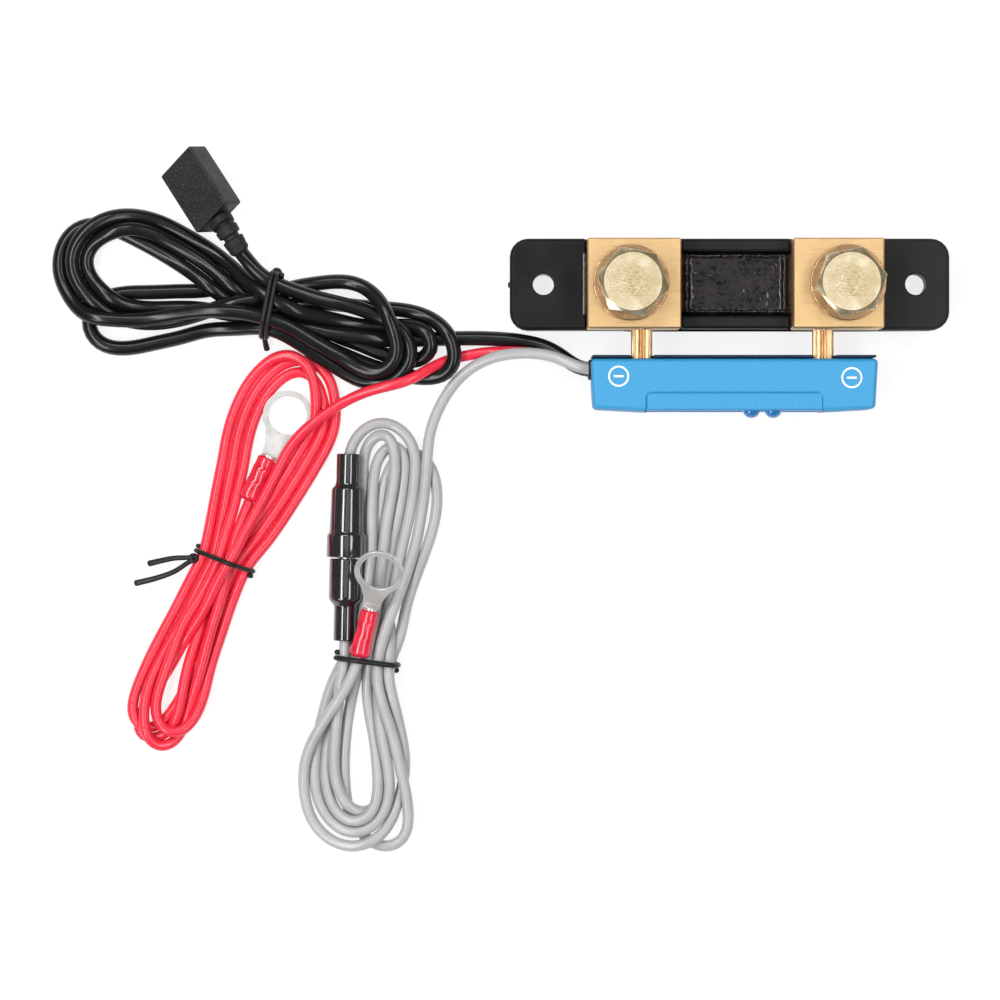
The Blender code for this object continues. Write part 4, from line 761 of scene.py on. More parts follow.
class Paint:
    """A principled material built in object space; lengths in millimetres."""

    def __init__(self, name, roughness=0.4, metallic=0.0, coat=0.0, specular=0.5):
        self.material = bpy.data.materials.new(name)
        self.material.use_nodes = True
        self.nodes = self.material.node_tree.nodes
        self.links = self.material.node_tree.links
        self.shader = self.nodes["Principled BSDF"]
        self.fill(self.shader, Roughness=roughness, Metallic=metallic, Coat_Weight=coat, Coat_Roughness=0.06,
                  Specular_IOR_Level=specular)
        self.place = self.node("TexCoord").outputs["Object"]
        self.height = None

    def feed(self, socket, value):
        """Links another node's output to a socket, or sets it to a number or an opaque colour."""
        if isinstance(value, bpy.types.NodeSocket):
            self.links.new(value, socket)
        else:
            socket.default_value = (*value, 1.0) if isinstance(value, tuple) else value

    def fill(self, node, **inputs):
        for key, value in inputs.items():
            self.feed(node.inputs[key.replace("_", " ")], value)

    def node(self, kind, **inputs):
        node = self.nodes.new("ShaderNode" + kind)
        self.fill(node, **inputs)
        return node

    def noise(self, size, detail=3.0, rough=0.55, distortion=0.0):
        """Noise with cells of the given size in X, Y and Z."""
        size = (size,) * 3 if isinstance(size, (int, float)) else size
        mapping = self.node("Mapping", Vector=self.place)
        mapping.inputs["Scale"].default_value = tuple(1.0 / (s * MM) for s in size)
        texture = self.node("TexNoise", Vector=mapping.outputs["Vector"], Scale=1.0, Detail=detail,
                            Roughness=rough, Distortion=distortion)
        return texture.outputs["Fac"]

    def ramp(self, source, low, high, start=0.3, end=0.7):
        """A colour that goes from low to high as the source rises."""
        ramp = self.node("ValToRGB", Fac=source)
        for element, position, colour in zip(ramp.color_ramp.elements, (start, end), (low, high)):
            element.position = position
            element.color = (*colour, 1.0)
        return ramp.outputs["Color"]

    def level(self, source, low, high, start=0.3, end=0.7):
        """A number that goes from low to high as the source rises."""
        node = self.node("MapRange", Value=source, From_Min=start, From_Max=end, To_Min=low, To_Max=high)
        return node.outputs["Result"]

    def maths(self, kind, one, two=0.0):
        node = self.node("Math")
        node.operation = kind
        self.feed(node.inputs[0], one)
        self.feed(node.inputs[1], two)
        return node.outputs["Value"]

    def mix(self, share, one, two):
        node = self.node("Mix")
        node.data_type = "RGBA"
        self.fill(node, Factor=share, A=one, B=two)
        return node.outputs["Result"]

    def axis(self, name):
        return self.node("SeparateXYZ", Vector=self.place).outputs[name]

    def colour(self, value):
        self.fill(self.shader, Base_Color=value)
        return self

    def roughness(self, value):
        self.fill(self.shader, Roughness=value)
        return self

    def bump(self, source, depth, strength=1.0):
        """Raises the surface by the source times a depth in millimetres, on top of any earlier bump."""
        node = self.node("Bump", Strength=strength, Distance=depth * MM, Height=source)
        if self.height is not None:
            self.fill(node, Normal=self.height)
        self.height = node.outputs["Normal"]
        self.fill(self.shader, Normal=self.height)
        return self


def drifting(name, tint, low, high, rough, bump, span=(0.3, 0.7), **looks):
    """A paint that drifts between two colours with a noise whose arguments are tint.

    Its roughness and bump follow the noise that ends their row, or the same one where that is None.
    """
    paint = Paint(name, **looks)
    shared = paint.noise(*tint)
    paint.colour(paint.ramp(shared, low, high, *span))
    if rough:
        at_low, at_high, own = rough
        paint.roughness(paint.level(paint.noise(*own) if own else shared, at_low, at_high))
    depth, strength, own = bump
    return paint.bump(paint.noise(*own) if own else shared, depth, strength)


def soft_black(name, roughness):
    return drifting(name, (6.0,), (0.0065, 0.0068, 0.0072), (0.0125, 0.0127, 0.013),
                    (roughness - 0.05, roughness + 0.07, (2.2,)), (0.012, 0.6, (0.6,)), specular=0.32)


def cord_skin(name, low, high, roughness, specular=0.5):
    """Drawn plastic insulation: smooth, with faint unevenness."""
    return drifting(name, (11.0,), low, high, (roughness - 0.03, roughness + 0.05, (6.0, 2.0)),
                    (0.012, 0.3, (3.0, 1.0)), specular=specular)


def bright_metal(name, low, high, roughness):
    return drifting(name, (1.2, 4.0), low, high, (roughness - 0.06, roughness + 0.12, (0.5,)),
                    (0.03, 0.4, None), metallic=1.0)


def plain(name, colour, roughness):
    return drifting(name, (2.0,), tuple(0.8 * c for c in colour), colour, None, (0.01, 0.4, (0.4,)),
                    roughness=roughness)


def moulded_black():
    """Fine-grained black moulding, smoother and darker at the load end than at the battery end."""
    paint = Paint("moulded_black", specular=0.20)
    towards_battery = paint.level(paint.axis("X"), 0.0, 1.0, -30 * MM, 48 * MM)
    fine = paint.noise(0.45, 2.0, 0.6)
    wide = paint.noise(9.0, 3.0)
    dull = paint.mix(towards_battery, (0.0050, 0.0054, 0.0066), (0.0125, 0.0128, 0.0135))
    paint.colour(paint.mix(paint.level(wide, 0.0, 0.4), dull, (0.011, 0.0115, 0.0125)))
    duller = paint.maths("MULTIPLY", towards_battery, 0.10)
    paint.roughness(paint.maths("ADD", paint.level(wide, 0.34, 0.46), duller))
    grain = paint.maths("MULTIPLY", fine, paint.level(towards_battery, 0.25, 1.0, 0.0, 1.0))
    return paint.bump(grain, 0.05, 0.9).bump(wide, 0.10, 0.25)


def block_brass():
    """Sawn brass bar, its grain along X, with a few darker scratches and stains."""
    paint = Paint("block_brass", metallic=1.0)
    grain = paint.noise((9.0, 0.10, 0.10), 4.0, 0.6)
    stain = paint.noise(5.0, 4.0)
    pale = paint.ramp(grain, (0.54, 0.355, 0.165), (0.86, 0.60, 0.32), 0.25, 0.75)
    paint.colour(paint.mix(paint.level(stain, 0.0, 0.30, 0.5, 0.8), pale, (0.56, 0.36, 0.16)))
    paint.roughness(paint.level(grain, 0.34, 0.50))
    return paint.bump(grain, 0.02, 0.4)


def bolt_brass():
    """Bright brass with turning marks about its own Z, and small dark scratches near the middle."""
    paint = Paint("bolt_brass", metallic=1.0)
    x, y = paint.axis("X"), paint.axis("Y")
    squares = paint.maths("ADD", paint.maths("MULTIPLY", x, x), paint.maths("MULTIPLY", y, y))
    radius = paint.maths("SQRT", squares)
    middle = paint.level(radius, 1.0, 0.0, 3.6 * MM, 5.4 * MM)
    scratch = paint.noise((0.9, 0.28, 0.5), 4.0, 0.6, 0.5)
    wide = paint.noise(4.0, 2.0)
    wander = paint.maths("ADD", radius, paint.maths("MULTIPLY", paint.noise(2.6, 2.0), 0.7 * MM))
    rings = paint.maths("SINE", paint.maths("MULTIPLY", wander, 2 * math.pi / (0.80 * MM)))
    tone = paint.ramp(wide, (0.84, 0.68, 0.40), (0.98, 0.87, 0.62), 0.35, 0.65)
    scratched = paint.level(scratch, 1.0, 0.0, 0.38, 0.52)
    dark = paint.maths("MULTIPLY", scratched, paint.level(middle, 0.25, 0.80, 0.0, 1.0))
    dark = paint.maths("ADD", dark, paint.level(rings, 0.0, 0.16, 0.2, 1.0))
    paint.colour(paint.mix(dark, tone, (0.50, 0.36, 0.16)))
    paint.roughness(paint.level(wide, 0.18, 0.30))
    return paint.bump(rings, 0.006, 0.35).bump(scratch, 0.008, 0.4)


def coating_black():
    """Poured black resin: glossy, lumpy, with a faint brown and violet cast."""
    paint = Paint("coating_black", specular=0.35, coat=0.25)
    wide = paint.noise(4.2, 3.0, 0.5, 0.6)
    lumps = paint.noise(1.3, 2.0, 0.5, 0.4)
    paint.colour(paint.ramp(wide, (0.003, 0.003, 0.0045), (0.016, 0.010, 0.012), 0.4, 0.72))
    paint.roughness(paint.level(wide, 0.12, 0.26))
    return paint.bump(lumps, 0.10, 0.5).bump(paint.noise(0.5, 2.0), 0.04, 0.5)


def housing_blue():
    """Satin blue moulding with a fine speckle; its walls and rounded edges get a darker, deeper blue than its
    top as painted shade.
    """
    paint = Paint("housing_blue", specular=0.5)
    speckle = paint.noise(0.35, 2.0, 0.7)
    wide = paint.noise(14.0, 2.0)
    height = paint.axis("Z")
    # edge and face mask the top and the upper part of its rounded edge, which keep the lit blue
    edge = paint.level(height, 0.0, 1.0, 20.05 * MM, 20.9 * MM)
    face = paint.level(height, 0.0, 1.0, 19.8 * MM, 20.2 * MM)
    top = paint.ramp(speckle, (0.018, 0.255, 0.520), (0.048, 0.350, 0.640), 0.30, 0.72)
    # sides: painted shade, a darker blue for the walls and the lower rounded edges
    sides = paint.ramp(wide, (0.000, 0.150, 0.420), (0.001, 0.195, 0.500))
    paint.colour(paint.mix(paint.maths("MAXIMUM", face, edge), sides, top))
    paint.roughness(paint.level(wide, 0.40, 0.50))
    return paint.bump(speckle, 0.022, 0.7)


def led_blue():
    paint = Paint("led_blue", roughness=0.10, specular=0.7, coat=0.5)
    # painted shade and highlight: each dome is darker at its front tip and lighter towards the wall
    depth = paint.level(paint.axis("Y"), 0.0, 1.0, -36.6 * MM, -34.0 * MM)
    paint.colour(paint.mix(depth, (0.0, 0.12, 0.38), (0.01, 0.26, 0.60)))
    return paint.bump(paint.noise(1.2), 0.02, 0.3)


def make_paints():
    """Every finished material by name."""
    paints = (
        moulded_black(), block_brass(), bolt_brass(), coating_black(), housing_blue(), led_blue(),
        soft_black("rubber_black", 0.55),
        soft_black("tie_black", 0.42),
        drifting("pebbled_black", (0.42, 2.0, 0.7), (0.007, 0.007, 0.008), (0.055, 0.055, 0.057),
                 (0.36, 0.52, (3.0,)), (0.08, 1.0, None), (0.48, 0.78), specular=0.4),
        drifting("glossy_black", (5.0,), (0.004, 0.004, 0.005), (0.010, 0.010, 0.011),
                 (0.10, 0.20, ((1.6, 6.0, 1.6),)), (0.03, 0.3, ((1.5, 8.0, 1.5),)), specular=0.75, coat=1.0),
        # the washers' brass is painted darker and browner than the bolts' as painted shade from the bolt heads
        drifting("washer_brass", (2.2, 4.0), (0.26, 0.15, 0.08), (0.56, 0.36, 0.19),
                 (0.40, 0.22, None), (0.02, 0.4, (0.6, 3.0)), metallic=1.0),
        drifting("spacer_brass", ((0.3, 5.0, 0.3), 3.0), (0.52, 0.30, 0.14), (0.90, 0.66, 0.40),
                 (0.22, 0.42, None), (0.03, 0.5, None), metallic=1.0),
        drifting("plate_navy", (3.0,), (0.004, 0.016, 0.040), (0.010, 0.034, 0.075),
                 None, (0.03, 0.6, (0.6,)), roughness=0.45),
        drifting("tinned_copper", (5.0, 2.0), (0.54, 0.535, 0.52), (0.66, 0.655, 0.64),
                 (0.24, 0.34, None), (0.006, 0.3, (0.5, 2.0)), metallic=0.55),
        drifting("sleeve_red", (2.6, 2.0), (0.58, 0.006, 0.030), (0.80, 0.016, 0.050),
                 (0.16, 0.26, None), (0.03, 0.4, (1.4, 2.0)), specular=0.6, coat=0.5),
        cord_skin("cord_black", (0.0045, 0.0047, 0.0050), (0.0085, 0.0088, 0.009), 0.20, 0.36),
        cord_skin("cord_red", (0.78, 0.024, 0.052), (0.86, 0.032, 0.066), 0.24),
        cord_skin("cord_grey", (0.375, 0.375, 0.380), (0.425, 0.425, 0.431), 0.24),
        bright_metal("resistance_alloy", (0.42, 0.30, 0.22), (0.58, 0.44, 0.34), 0.35),
        bright_metal("screw_steel", (0.50, 0.50, 0.50), (0.70, 0.70, 0.70), 0.30),
        bright_metal("contact_gold", (0.80, 0.58, 0.24), (0.95, 0.74, 0.38), 0.25),
        bright_metal("nickel", (0.55, 0.54, 0.52), (0.75, 0.74, 0.72), 0.25),
        plain("board_green", (0.01, 0.09, 0.04), 0.4),
        plain("chip_black", (0.012, 0.012, 0.013), 0.45),
        plain("fuse_glass", (0.7, 0.75, 0.75), 0.1),
        plain("mark_white", (0.90, 0.92, 0.93), 0.45),
    )
    made = {paint.material.name: paint.material for paint in paints}
    made["coating"] = made["coating_black"]  # the CAD slot's name
    return made


def take_slots():
    """The material slot of each CAD node; the plain CAD materials make way for the finished ones."""
    slots = {name: node.data.materials[0].name for name, node in frame["nodes"].items()}
    for name in set(slots.values()):
        bpy.data.materials.remove(bpy.data.materials[name])
    return slots


def paint_frame(slots, paints):
    for name, slot in slots.items():
        mesh = frame["nodes"][name].data
        mesh.materials.clear()
        mesh.materials.append(paints[slot])


# ---------------------------------------------------------------- detailed pieces


def body_of(node):
    for body, members in frame["record"]["behaviour"]["bodies"].items():
        if node in members:
            return body
    return ROOT


def stand_for(piece, node):
    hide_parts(node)
    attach(piece, body_of(node))
    return piece


def sharpen(mesh, degrees):
    mesh.polygons.foreach_set("use_smooth", [True] * len(mesh.polygons))
    mesh.set_sharp_from_angle(angle=math.radians(degrees))


def softened(node, material, width):
    """A copy of a CAD node with its hard edges rounded off."""
    mesh = frame["nodes"][node].data.copy()
    mesh.materials.clear()
    builder = bmesh.new()
    builder.from_mesh(mesh)
    bmesh.ops.remove_doubles(builder, verts=builder.verts, dist=1e-6)
    bmesh.ops.dissolve_limit(builder, angle_limit=math.radians(0.6), verts=builder.verts, edges=builder.edges)
    hard = [e for e in builder.edges if len(e.link_faces) == 2 and e.calc_face_angle(0.0) > math.radians(32)]
    bmesh.ops.bevel(builder, geom=hard, offset=width * MM, segments=2, profile=0.5, affect="EDGES",
                    clamp_overlap=False)
    builder.to_mesh(mesh)
    builder.free()
    mesh.materials.append(material)
    for face in mesh.polygons:
        face.material_index = 0
    sharpen(mesh, 50)
    piece = link(node + "_finished", mesh)
    piece.modifiers.new("flat_faces", "WEIGHTED_NORMAL").keep_sharp = True
    stand_for(piece, node)


def lathe(name, profile, material, sides):
    """A turned piece about its own Z from a closed outline of (radius, height) points, in millimetres."""
    verts, faces = [], []
    for ring, (radius, height) in enumerate(profile):
        after = (ring + 1) % len(profile) * sides
        for k in range(sides):
            a, nxt = 2 * math.pi * k / sides, (k + 1) % sides
            verts.append((radius * math.cos(a) * MM, radius * math.sin(a) * MM, height * MM))
            faces.append((ring * sides + k, ring * sides + nxt, after + nxt, after + k))
    piece = link_mesh(name, verts, faces, material)
    sharpen(piece.data, 35)
    return piece


def rounded_profile(corners, radius, steps=4):
    """The corner points of a turned profile, each rounded by up to a radius."""
    out = []
    for n, corner in enumerate(corners):
        here = np.array(corner, float)
        before = np.array(corners[n - 1] if n else corners[-1], float)
        after = np.array(corners[(n + 1) % len(corners)], float)
        near, far = before - here, after - here
        reach = min(radius, 0.45 * np.linalg.norm(near), 0.45 * np.linalg.norm(far))
        a, b = here + unit(near) * reach, here + unit(far) * reach
        for k in range(steps + 1):
            t = k / steps
            out.append(tuple(a * (1 - t) ** 2 + 2 * here * t * (1 - t) + b * t ** 2))
    return out


WASHER_BORE, WASHER_ROUNDING = 5.6, 0.35


def add_washers(paints):
    for side in ("load", "battery"):
        low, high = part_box(side + "_washer")
        outer, half = (high.x - low.x) / 2 / MM, (high.z - low.z) / 2 / MM
        corners = [(WASHER_BORE, -half), (outer, -half), (outer, half), (WASHER_BORE, half)]
        profile = rounded_profile(corners, WASHER_ROUNDING)
        # the washers take the darker brass that paints the bolt heads' shade on them
        washer = lathe(side + "_washer_turned", profile, paints["washer_brass"], 96)
        washer.location = (low + high) / 2
        stand_for(washer, side + "_washer")


BOLT_TURNS = {"load": -11.0, "battery": 11.2}  # degrees
BOLT_FLAT, BOLT_CROWN, BOLT_CHAMFER = 8.5, 7.8, math.tan(math.radians(28))
BOLT_SIDES = 240
SHANK_RADIUS, SHANK_LENGTH = 5.0, 16.0


def bolt_verts(height, turn):
    """Rings of points from the middle of a bolt's top, over its chamfer, to the tip of its shank."""
    verts = []

    def ring(radius_of, height_of):
        for k in range(BOLT_SIDES):
            a = 2 * math.pi * k / BOLT_SIDES
            near = (a - math.radians(turn)) % (math.pi / 3) - math.pi / 6
            reach = BOLT_FLAT / math.cos(near)
            r, z = radius_of(reach), height_of(reach)
            verts.append(Vector((r * math.cos(a), r * math.sin(a), z)) * MM)

    def chamfer(reach, share):
        return BOLT_CROWN + max(0.0, reach - BOLT_CROWN) * share

    for r in (0.02, 1.0, 2.2, 3.4, 4.6, 5.6, 6.5, 7.2, 7.6, BOLT_CROWN):
        dish = 0.03 * math.cos(2 * math.pi * r / 2.6) - 0.05
        ring(lambda reach: r, lambda reach: height + dish * (1 - r / BOLT_CROWN))
    for share in (0.05, 0.5, 0.95):
        ring(lambda reach: chamfer(reach, share),
             lambda reach: height - BOLT_CHAMFER * (chamfer(reach, share) - BOLT_CROWN) - 0.02)
    ring(lambda reach: reach, lambda reach: height - BOLT_CHAMFER * (reach - BOLT_CROWN) - 0.10)
    ring(lambda reach: reach, lambda reach: 0.12)
    ring(lambda reach: reach - 0.12, lambda reach: 0.0)
    for r, z in ((SHANK_RADIUS, 0.0), (SHANK_RADIUS, 0.8 - SHANK_LENGTH), (4.3, -SHANK_LENGTH),
                 (0.02, -SHANK_LENGTH)):
        ring(lambda reach: r, lambda reach: z)
    return verts


def add_bolts(paints):
    """Hexagon heads with a conical chamfer, a faintly dished top and a shank."""
    for side, turn in BOLT_TURNS.items():
        low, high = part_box(side + "_bolt")
        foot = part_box(side + "_washer")[1].z + 0.3 * MM
        verts = bolt_verts((high.z - foot) / MM, turn)
        faces = []
        for n in range(len(verts) // BOLT_SIDES - 1):
            for k in range(BOLT_SIDES):
                a, b = n * BOLT_SIDES + k, n * BOLT_SIDES + (k + 1) % BOLT_SIDES
                faces.append((a, a + BOLT_SIDES, b + BOLT_SIDES, b))
        bolt = link_mesh(side + "_bolt_head", verts, faces, paints["bolt_brass"])
        sharpen(bolt.data, 20)
        bolt.location = ((low.x + high.x) / 2, (low.y + high.y) / 2, foot)
        stand_for(bolt, side + "_bolt")


COATING_REACH = 0.32  # past the CAD solid, to the blocks
COATING_COLUMNS, COATING_ROWS = 150, 90
STRIP_COVER = 11.72  # the resin never sinks below this height, over the strips


def wave(x, y, size, seed):
    return noise.noise(Vector((x / size, y / size, seed)))


def resin_height(x, y, low, high):
    """The coating's top: beads along its ends, lips along its sides, and lumps all over."""
    rim_x = min(x - low.x, high.x - x)
    rim_y = min(y - low.y, high.y - y)
    bead = 0.80 * math.exp(-((rim_x - 1.9) / 0.75) ** 2) * (1 + 0.6 * wave(x, y, 1.6, 3.0))
    lip = 0.45 * math.exp(-((rim_y - 0.8) / 0.4) ** 2) * (1 + 0.8 * wave(x, y, 1.1, 9.0))
    drop = 0.25 * math.exp(-(rim_x / 0.9) ** 2) + 0.5 * math.exp(-(rim_y / 0.35) ** 2)
    lumps = 0.22 * wave(x, y, 3.2, 1.0) + 0.10 * wave(x, y, 1.4, 5.0) + 0.03 * wave(x, y, 0.6, 7.0)
    return max(high.z - 0.30 + bead + lip + lumps - drop, STRIP_COVER)


def add_coating(paints):
    """The resin over the resistance strips, as a closed sheet with a flat underside."""
    low, high = (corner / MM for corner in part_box("element_coating"))
    low.x, high.x = low.x - COATING_REACH, high.x + COATING_REACH
    verts, faces = [], []
    row = COATING_COLUMNS + 1
    for j in range(COATING_ROWS + 1):
        for i in range(row):
            x = low.x + (high.x - low.x) * (i / COATING_COLUMNS)
            y = low.y + (high.y - low.y) * (j / COATING_ROWS)
            verts.append((x, y, resin_height(x, y, low, high)))
    for j in range(COATING_ROWS):
        for a in range(j * row, j * row + COATING_COLUMNS):
            faces.append((a, a + 1, a + 1 + row, a + row))
    top = len(verts)
    border = list(range(row)) + [j * row + COATING_COLUMNS for j in range(1, COATING_ROWS + 1)]
    border += [COATING_ROWS * row + i for i in range(COATING_COLUMNS - 1, -1, -1)]
    border += [j * row for j in range(COATING_ROWS - 1, 0, -1)]
    verts += [(verts[n][0], verts[n][1], low.z) for n in border]
    for k, n in enumerate(border):
        nxt = (k + 1) % len(border)
        faces.append((n, top + k, top + nxt, border[nxt]))
    faces.append(tuple(top + k for k in range(len(border) - 1, -1, -1)))
    piece = link_mesh("poured_coating", [Vector(v) * MM for v in verts], faces, paints["coating"])
    stand_for(piece, "element_coating")


GLUE_GAP, GLUE_RISE, GLUE_RUN, GLUE_RADIUS = 0.75, 4.3, 16.4, 0.72


def add_glue_bead(paints):
    """A line of glue where the load block meets the base's ear, as in the photo."""
    block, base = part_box("load_block")[0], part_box("base")[1]
    x, z = block.x / MM - GLUE_GAP, block.z / MM + GLUE_RISE
    points, radii = [], []
    for k in range(33):
        t = k / 32
        swell = noise.noise(Vector((t * 9.0, 2.0, 0.0)))
        points.append((x + 0.15 * swell, base.y / MM * 0.66 - GLUE_RUN * t, z))
        radii.append(GLUE_RADIUS + 0.26 * swell)
    bead = tube_piece("glue_bead", [(points, radii, [0.9] * len(points))], paints["glossy_black"], 14)
    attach(bead, ROOT)


RELIEF_PATH = [(-138.9, 17.6, 12.9), (-137.9, 16.1, 13.5), (-136.3, 13.7, 14.3), (-134.5, 10.8, 14.1),
               (-133.1, 8.6, 13.6)]
RELIEF_PITCH, RELIEF_GROOVE = 3.3, 0.85
RELIEF_COLLAR, RELIEF_CORE = 2.2, 2.25


def add_strain_relief(paints):
    """Three tapering ring segments with deep grooves between them, and a collar at the cord's end."""
    line = smooth_line(RELIEF_PATH, 0.12)
    length = line_length(line)
    radii = []
    for n in range(len(line)):
        d = length * n / (len(line) - 1)
        outer = 3.5 - 0.75 * d / length
        if d > length - RELIEF_COLLAR:
            radii.append(2.8 - 0.45 * max(0.0, (d - length + 0.6) / 0.6))
            continue
        phase = (d - 0.1) % RELIEF_PITCH
        edge = min(phase, RELIEF_PITCH - RELIEF_GROOVE - phase) / 0.30
        ridge = min(1.0, max(0.0, edge))
        radii.append(RELIEF_CORE + (outer - RELIEF_CORE) * ridge ** 0.5)
    relief = tube_piece("relief_rings", [(line, radii, None)], paints["rubber_black"], 28)
    stand_for(relief, "data_strain_relief")


SLEEVE_START, SLEEVE_LENGTH, SLEEVE_RADIUS = 13.4, 11.4, 2.52
SLEEVE_POINTS = 58


def add_sleeves(paints):
    """Insulating sleeves of the ring terminals, dented where they were crimped."""
    for name, eye, way in TERMINALS:
        ahead = unit(way)
        start = eye + TERMINAL_AXIS_HEIGHT + ahead * SLEEVE_START
        points, radii, flat = [], [], []
        for k in range(SLEEVE_POINTS):
            d = SLEEVE_LENGTH * k / (SLEEVE_POINTS - 1)
            dent = math.exp(-((d - 3.1) / 0.9) ** 2) + 0.7 * math.exp(-((d - 7.1) / 0.9) ** 2)
            mouth = 0.10 * math.exp(-(d / 0.7) ** 2) + 0.50 * math.exp(-((d - SLEEVE_LENGTH) / 2.6) ** 2)
            points.append(start + ahead * d)
            radii.append(SLEEVE_RADIUS + mouth + 0.10 * dent)
            flat.append(0.93 - 0.16 * dent)
        sleeve = tube_piece(name + "_sleeve", [(points, radii, flat)], paints["sleeve_red"], 28)
        stand_for(sleeve, name + "_terminal_sleeve")


# outlines as radius and distance from the holder's upper end
FUSE_BODY_PROFILE = [
    (1.6, 0.0), (3.2, 0.0), (3.25, 7.6), (3.5, 8.6), (4.45, 9.6), (4.75, 21.0), (4.85, 21.5), (5.45, 22.3),
    (5.45, 28.4), (1.6, 28.4),
]
FUSE_CAP_PROFILE = [
    (1.6, 28.7), (4.6, 28.7), (4.6, 39.4), (4.35, 40.2), (3.15, 41.6), (3.05, 42.2), (3.05, 51.2),
    (1.6, 51.2),
]


def add_fuse_holder(paints):
    turn = Vector(FUSE_BOTTOM - FUSE_TOP).to_track_quat("Z", "Y")
    for node, profile in (("fuse_body", FUSE_BODY_PROFILE), ("fuse_cap", FUSE_CAP_PROFILE)):
        piece = lathe(node + "_turned", rounded_profile(profile, 0.45), paints["glossy_black"], 72)
        piece.rotation_mode = "QUATERNION"
        piece.rotation_quaternion = turn
        piece.location = Vector(FUSE_TOP) * MM
        stand_for(piece, node)


MARK_PLACES = ((-30.6, -25.4), (32.4, -25.8))
MARK_INNER, MARK_OUTER, MARK_THICKNESS = 2.35, 2.85, 0.05
MARK_BAR_HALF, MARK_BAR_HALF_WIDTH = 1.35, 0.28
MARK_SIDES = 48


def mark_outlines(x, y):
    """The pieces of a ring, and the bar inside it."""

    def at(radius, k):
        a = 2 * math.pi * k / MARK_SIDES
        return x + radius * math.cos(a), y + radius * math.sin(a)

    for k in range(MARK_SIDES):
        yield [at(MARK_INNER, k), at(MARK_INNER, k + 1), at(MARK_OUTER, k + 1), at(MARK_OUTER, k)]
    half, wide = MARK_BAR_HALF, MARK_BAR_HALF_WIDTH
    yield [(x - half, y - wide), (x + half, y - wide), (x + half, y + wide), (x - half, y + wide)]


def add_marks(paints):
    """A ringed minus sign at each end of the housing's top, in place of printed words."""
    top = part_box("housing_cover")[1].z / MM
    verts, faces = [], []
    for place in MARK_PLACES:
        for outline in mark_outlines(*place):
            first, count = len(verts), len(outline)
            verts += [(x, y, z) for z in (top, top + MARK_THICKNESS) for x, y in outline]
            faces.append(tuple(range(first + count, first + 2 * count)))
            for k in range(count):
                nxt = (k + 1) % count
                faces.append((first + k, first + nxt, first + count + nxt, first + count + k))
    verts = [Vector(v) * MM for v in verts]
    marks = link_mesh("minus_marks", verts, faces, paints["mark_white"], smooth=False)
    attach(marks, ROOT)


FINISHED_COPIES = (  # node, slot, paint, width of its rounded edges
    ("base", "moulded_black", "moulded_black", 0.45),
    ("load_block", "block_brass", "block_brass", 0.22),
    ("battery_block", "block_brass", "block_brass", 0.22),
    ("housing_cover", "housing_blue", "housing_blue", 0.50),
    ("housing_back_plate", "plate_navy", "plate_navy", 0.12),
    ("cable_grommet", "rubber_black", "rubber_black", 0.12),
    ("data_socket_body", "moulded_black", "pebbled_black", 0.18),
    ("supply_ring_terminal", "tinned_copper", "tinned_copper", 0.16),
    ("sense_ring_terminal", "tinned_copper", "tinned_copper", 0.16),
)


def add_finished_copies(paints):
    for node, slot, paint, width in FINISHED_COPIES:
        softened(node, paints[paint], width)


# ---------------------------------------------------------------- assembly

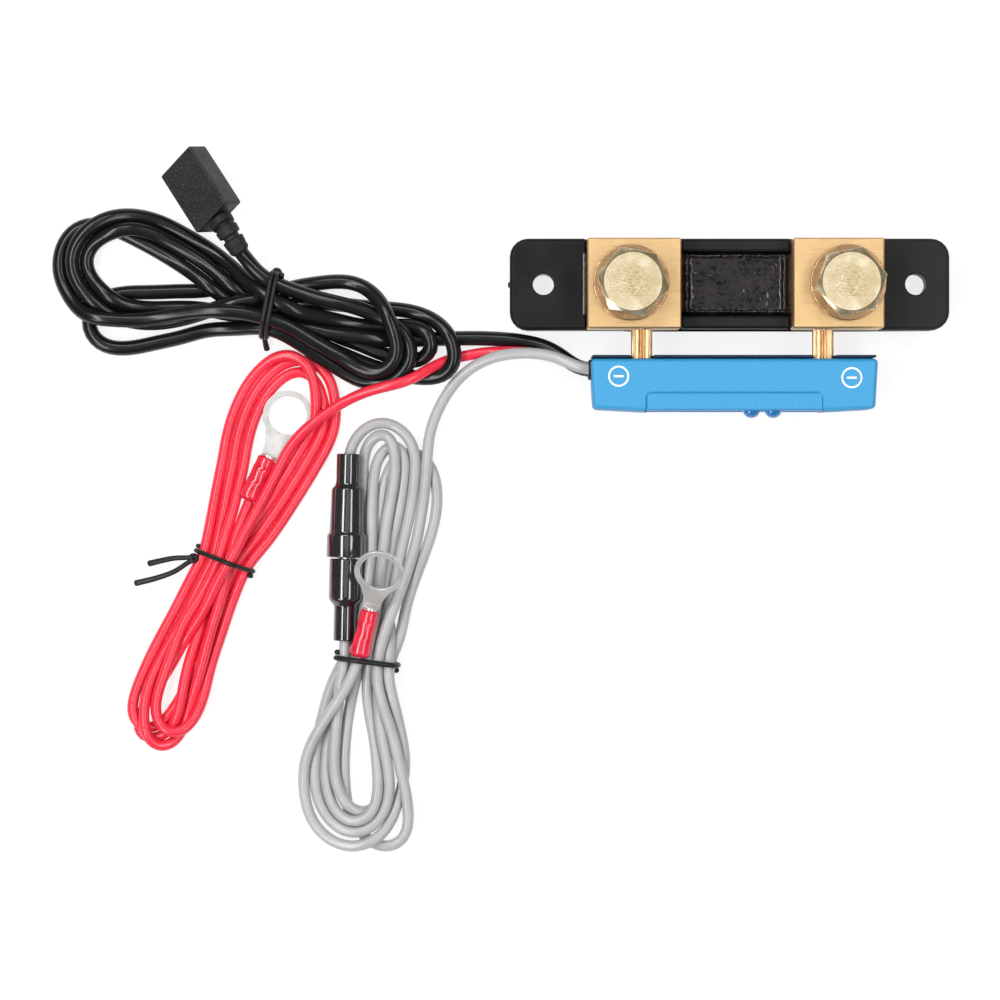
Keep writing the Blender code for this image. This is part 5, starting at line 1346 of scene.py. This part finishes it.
CORD_PLAN = (  # name, diameter, colour, what its far end is, CAD nodes it stands for, nodes at its far end
    ("data", DATA_DIAMETER, "cord_black", "connector", ("data_lead", "data_hank", "data_tail"),
     ("data_strain_relief", "data_socket_body", "data_socket_carrier", "data_contact_1", "data_contact_2",
      "data_contact_3", "data_contact_4")),
    ("supply", SUPPLY_DIAMETER, "cord_red", "fitting", ("supply_lead", "supply_hank", "supply_tail"),
     ("supply_terminal_sleeve", "supply_ring_terminal")),
    ("sense", SENSE_DIAMETER, "cord_grey", "fitting", ("sense_lead", "sense_hank", "sense_tail"),
     ("fuse_cap", "fuse_body", "fuse_tube", "fuse_end_cap_lower", "fuse_end_cap_upper", "fuse_spring")),
    ("fused", SENSE_DIAMETER, "cord_grey", "fitting", ("sense_arch", "sense_ring_tail"),
     ("sense_terminal_sleeve", "sense_ring_terminal")),
)


def add_cords(paints):
    lines = settle_cords()
    wires = {}
    for name, diameter, slot, far_end, replaced, at_end in CORD_PLAN:
        cord, fine = cord_curve(name + "_cord", lines[name], diameter, paints[slot])
        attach(cord, ROOT)
        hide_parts(*replaced)
        wires[name] = (fine, diameter / 2)
    return wires


TIE_PLAN = (  # tie, the cords it holds, turns round them, its tails and its twist's place
    ("data", ("data",), 2.5, [
        [(-127.3, -13.6, 4.6), (-127.0, -15.6, 2.6), (-126.6, -17.6, 1.2)],
    ], (-123.6, 3.2, 7.4)),
    ("supply", ("supply",), 1.5, [
        [(-146.6, -74.4, 4.6), (-148.0, -74.6, 4.4), (-152.0, -74.8, 3.6), (-155.6, -75.5, 2.6),
         (-159.0, -76.3, 1.6)],
        [(-146.8, -75.4, 4.2), (-148.4, -76.2, 4.0), (-152.0, -78.5, 3.2), (-157.0, -80.3, 2.2),
         (-162.7, -81.7, 1.2)],
    ], (-146.6, -74.8, 4.0)),
    ("sense", ("sense", "fused"), 1.5, [], None),
)


def add_ties(wires, paints):
    for tie, held, turns, tails, knot in TIE_PLAN:
        dress_tie(tie, [wires[name] for name in held], paints["tie_black"], turns, tails, knot)


def write_sizes():
    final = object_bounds()

    def plain(bounds):
        return [[float(x) for x in corner] for corner in bounds]

    {"cad": plain(CAD_BOX), "visual": plain(final)}


make_camera()
make_studio()
make_floor()
SLOTS = take_slots()
PAINTS = make_paints()
paint_frame(SLOTS, PAINTS)
add_strain_relief(PAINTS)
add_sleeves(PAINTS)
add_fuse_holder(PAINTS)
add_finished_copies(PAINTS)
add_washers(PAINTS)
add_bolts(PAINTS)
add_coating(PAINTS)
add_glue_bead(PAINTS)
add_marks(PAINTS)
add_ties(add_cords(PAINTS), PAINTS)
write_sizes()
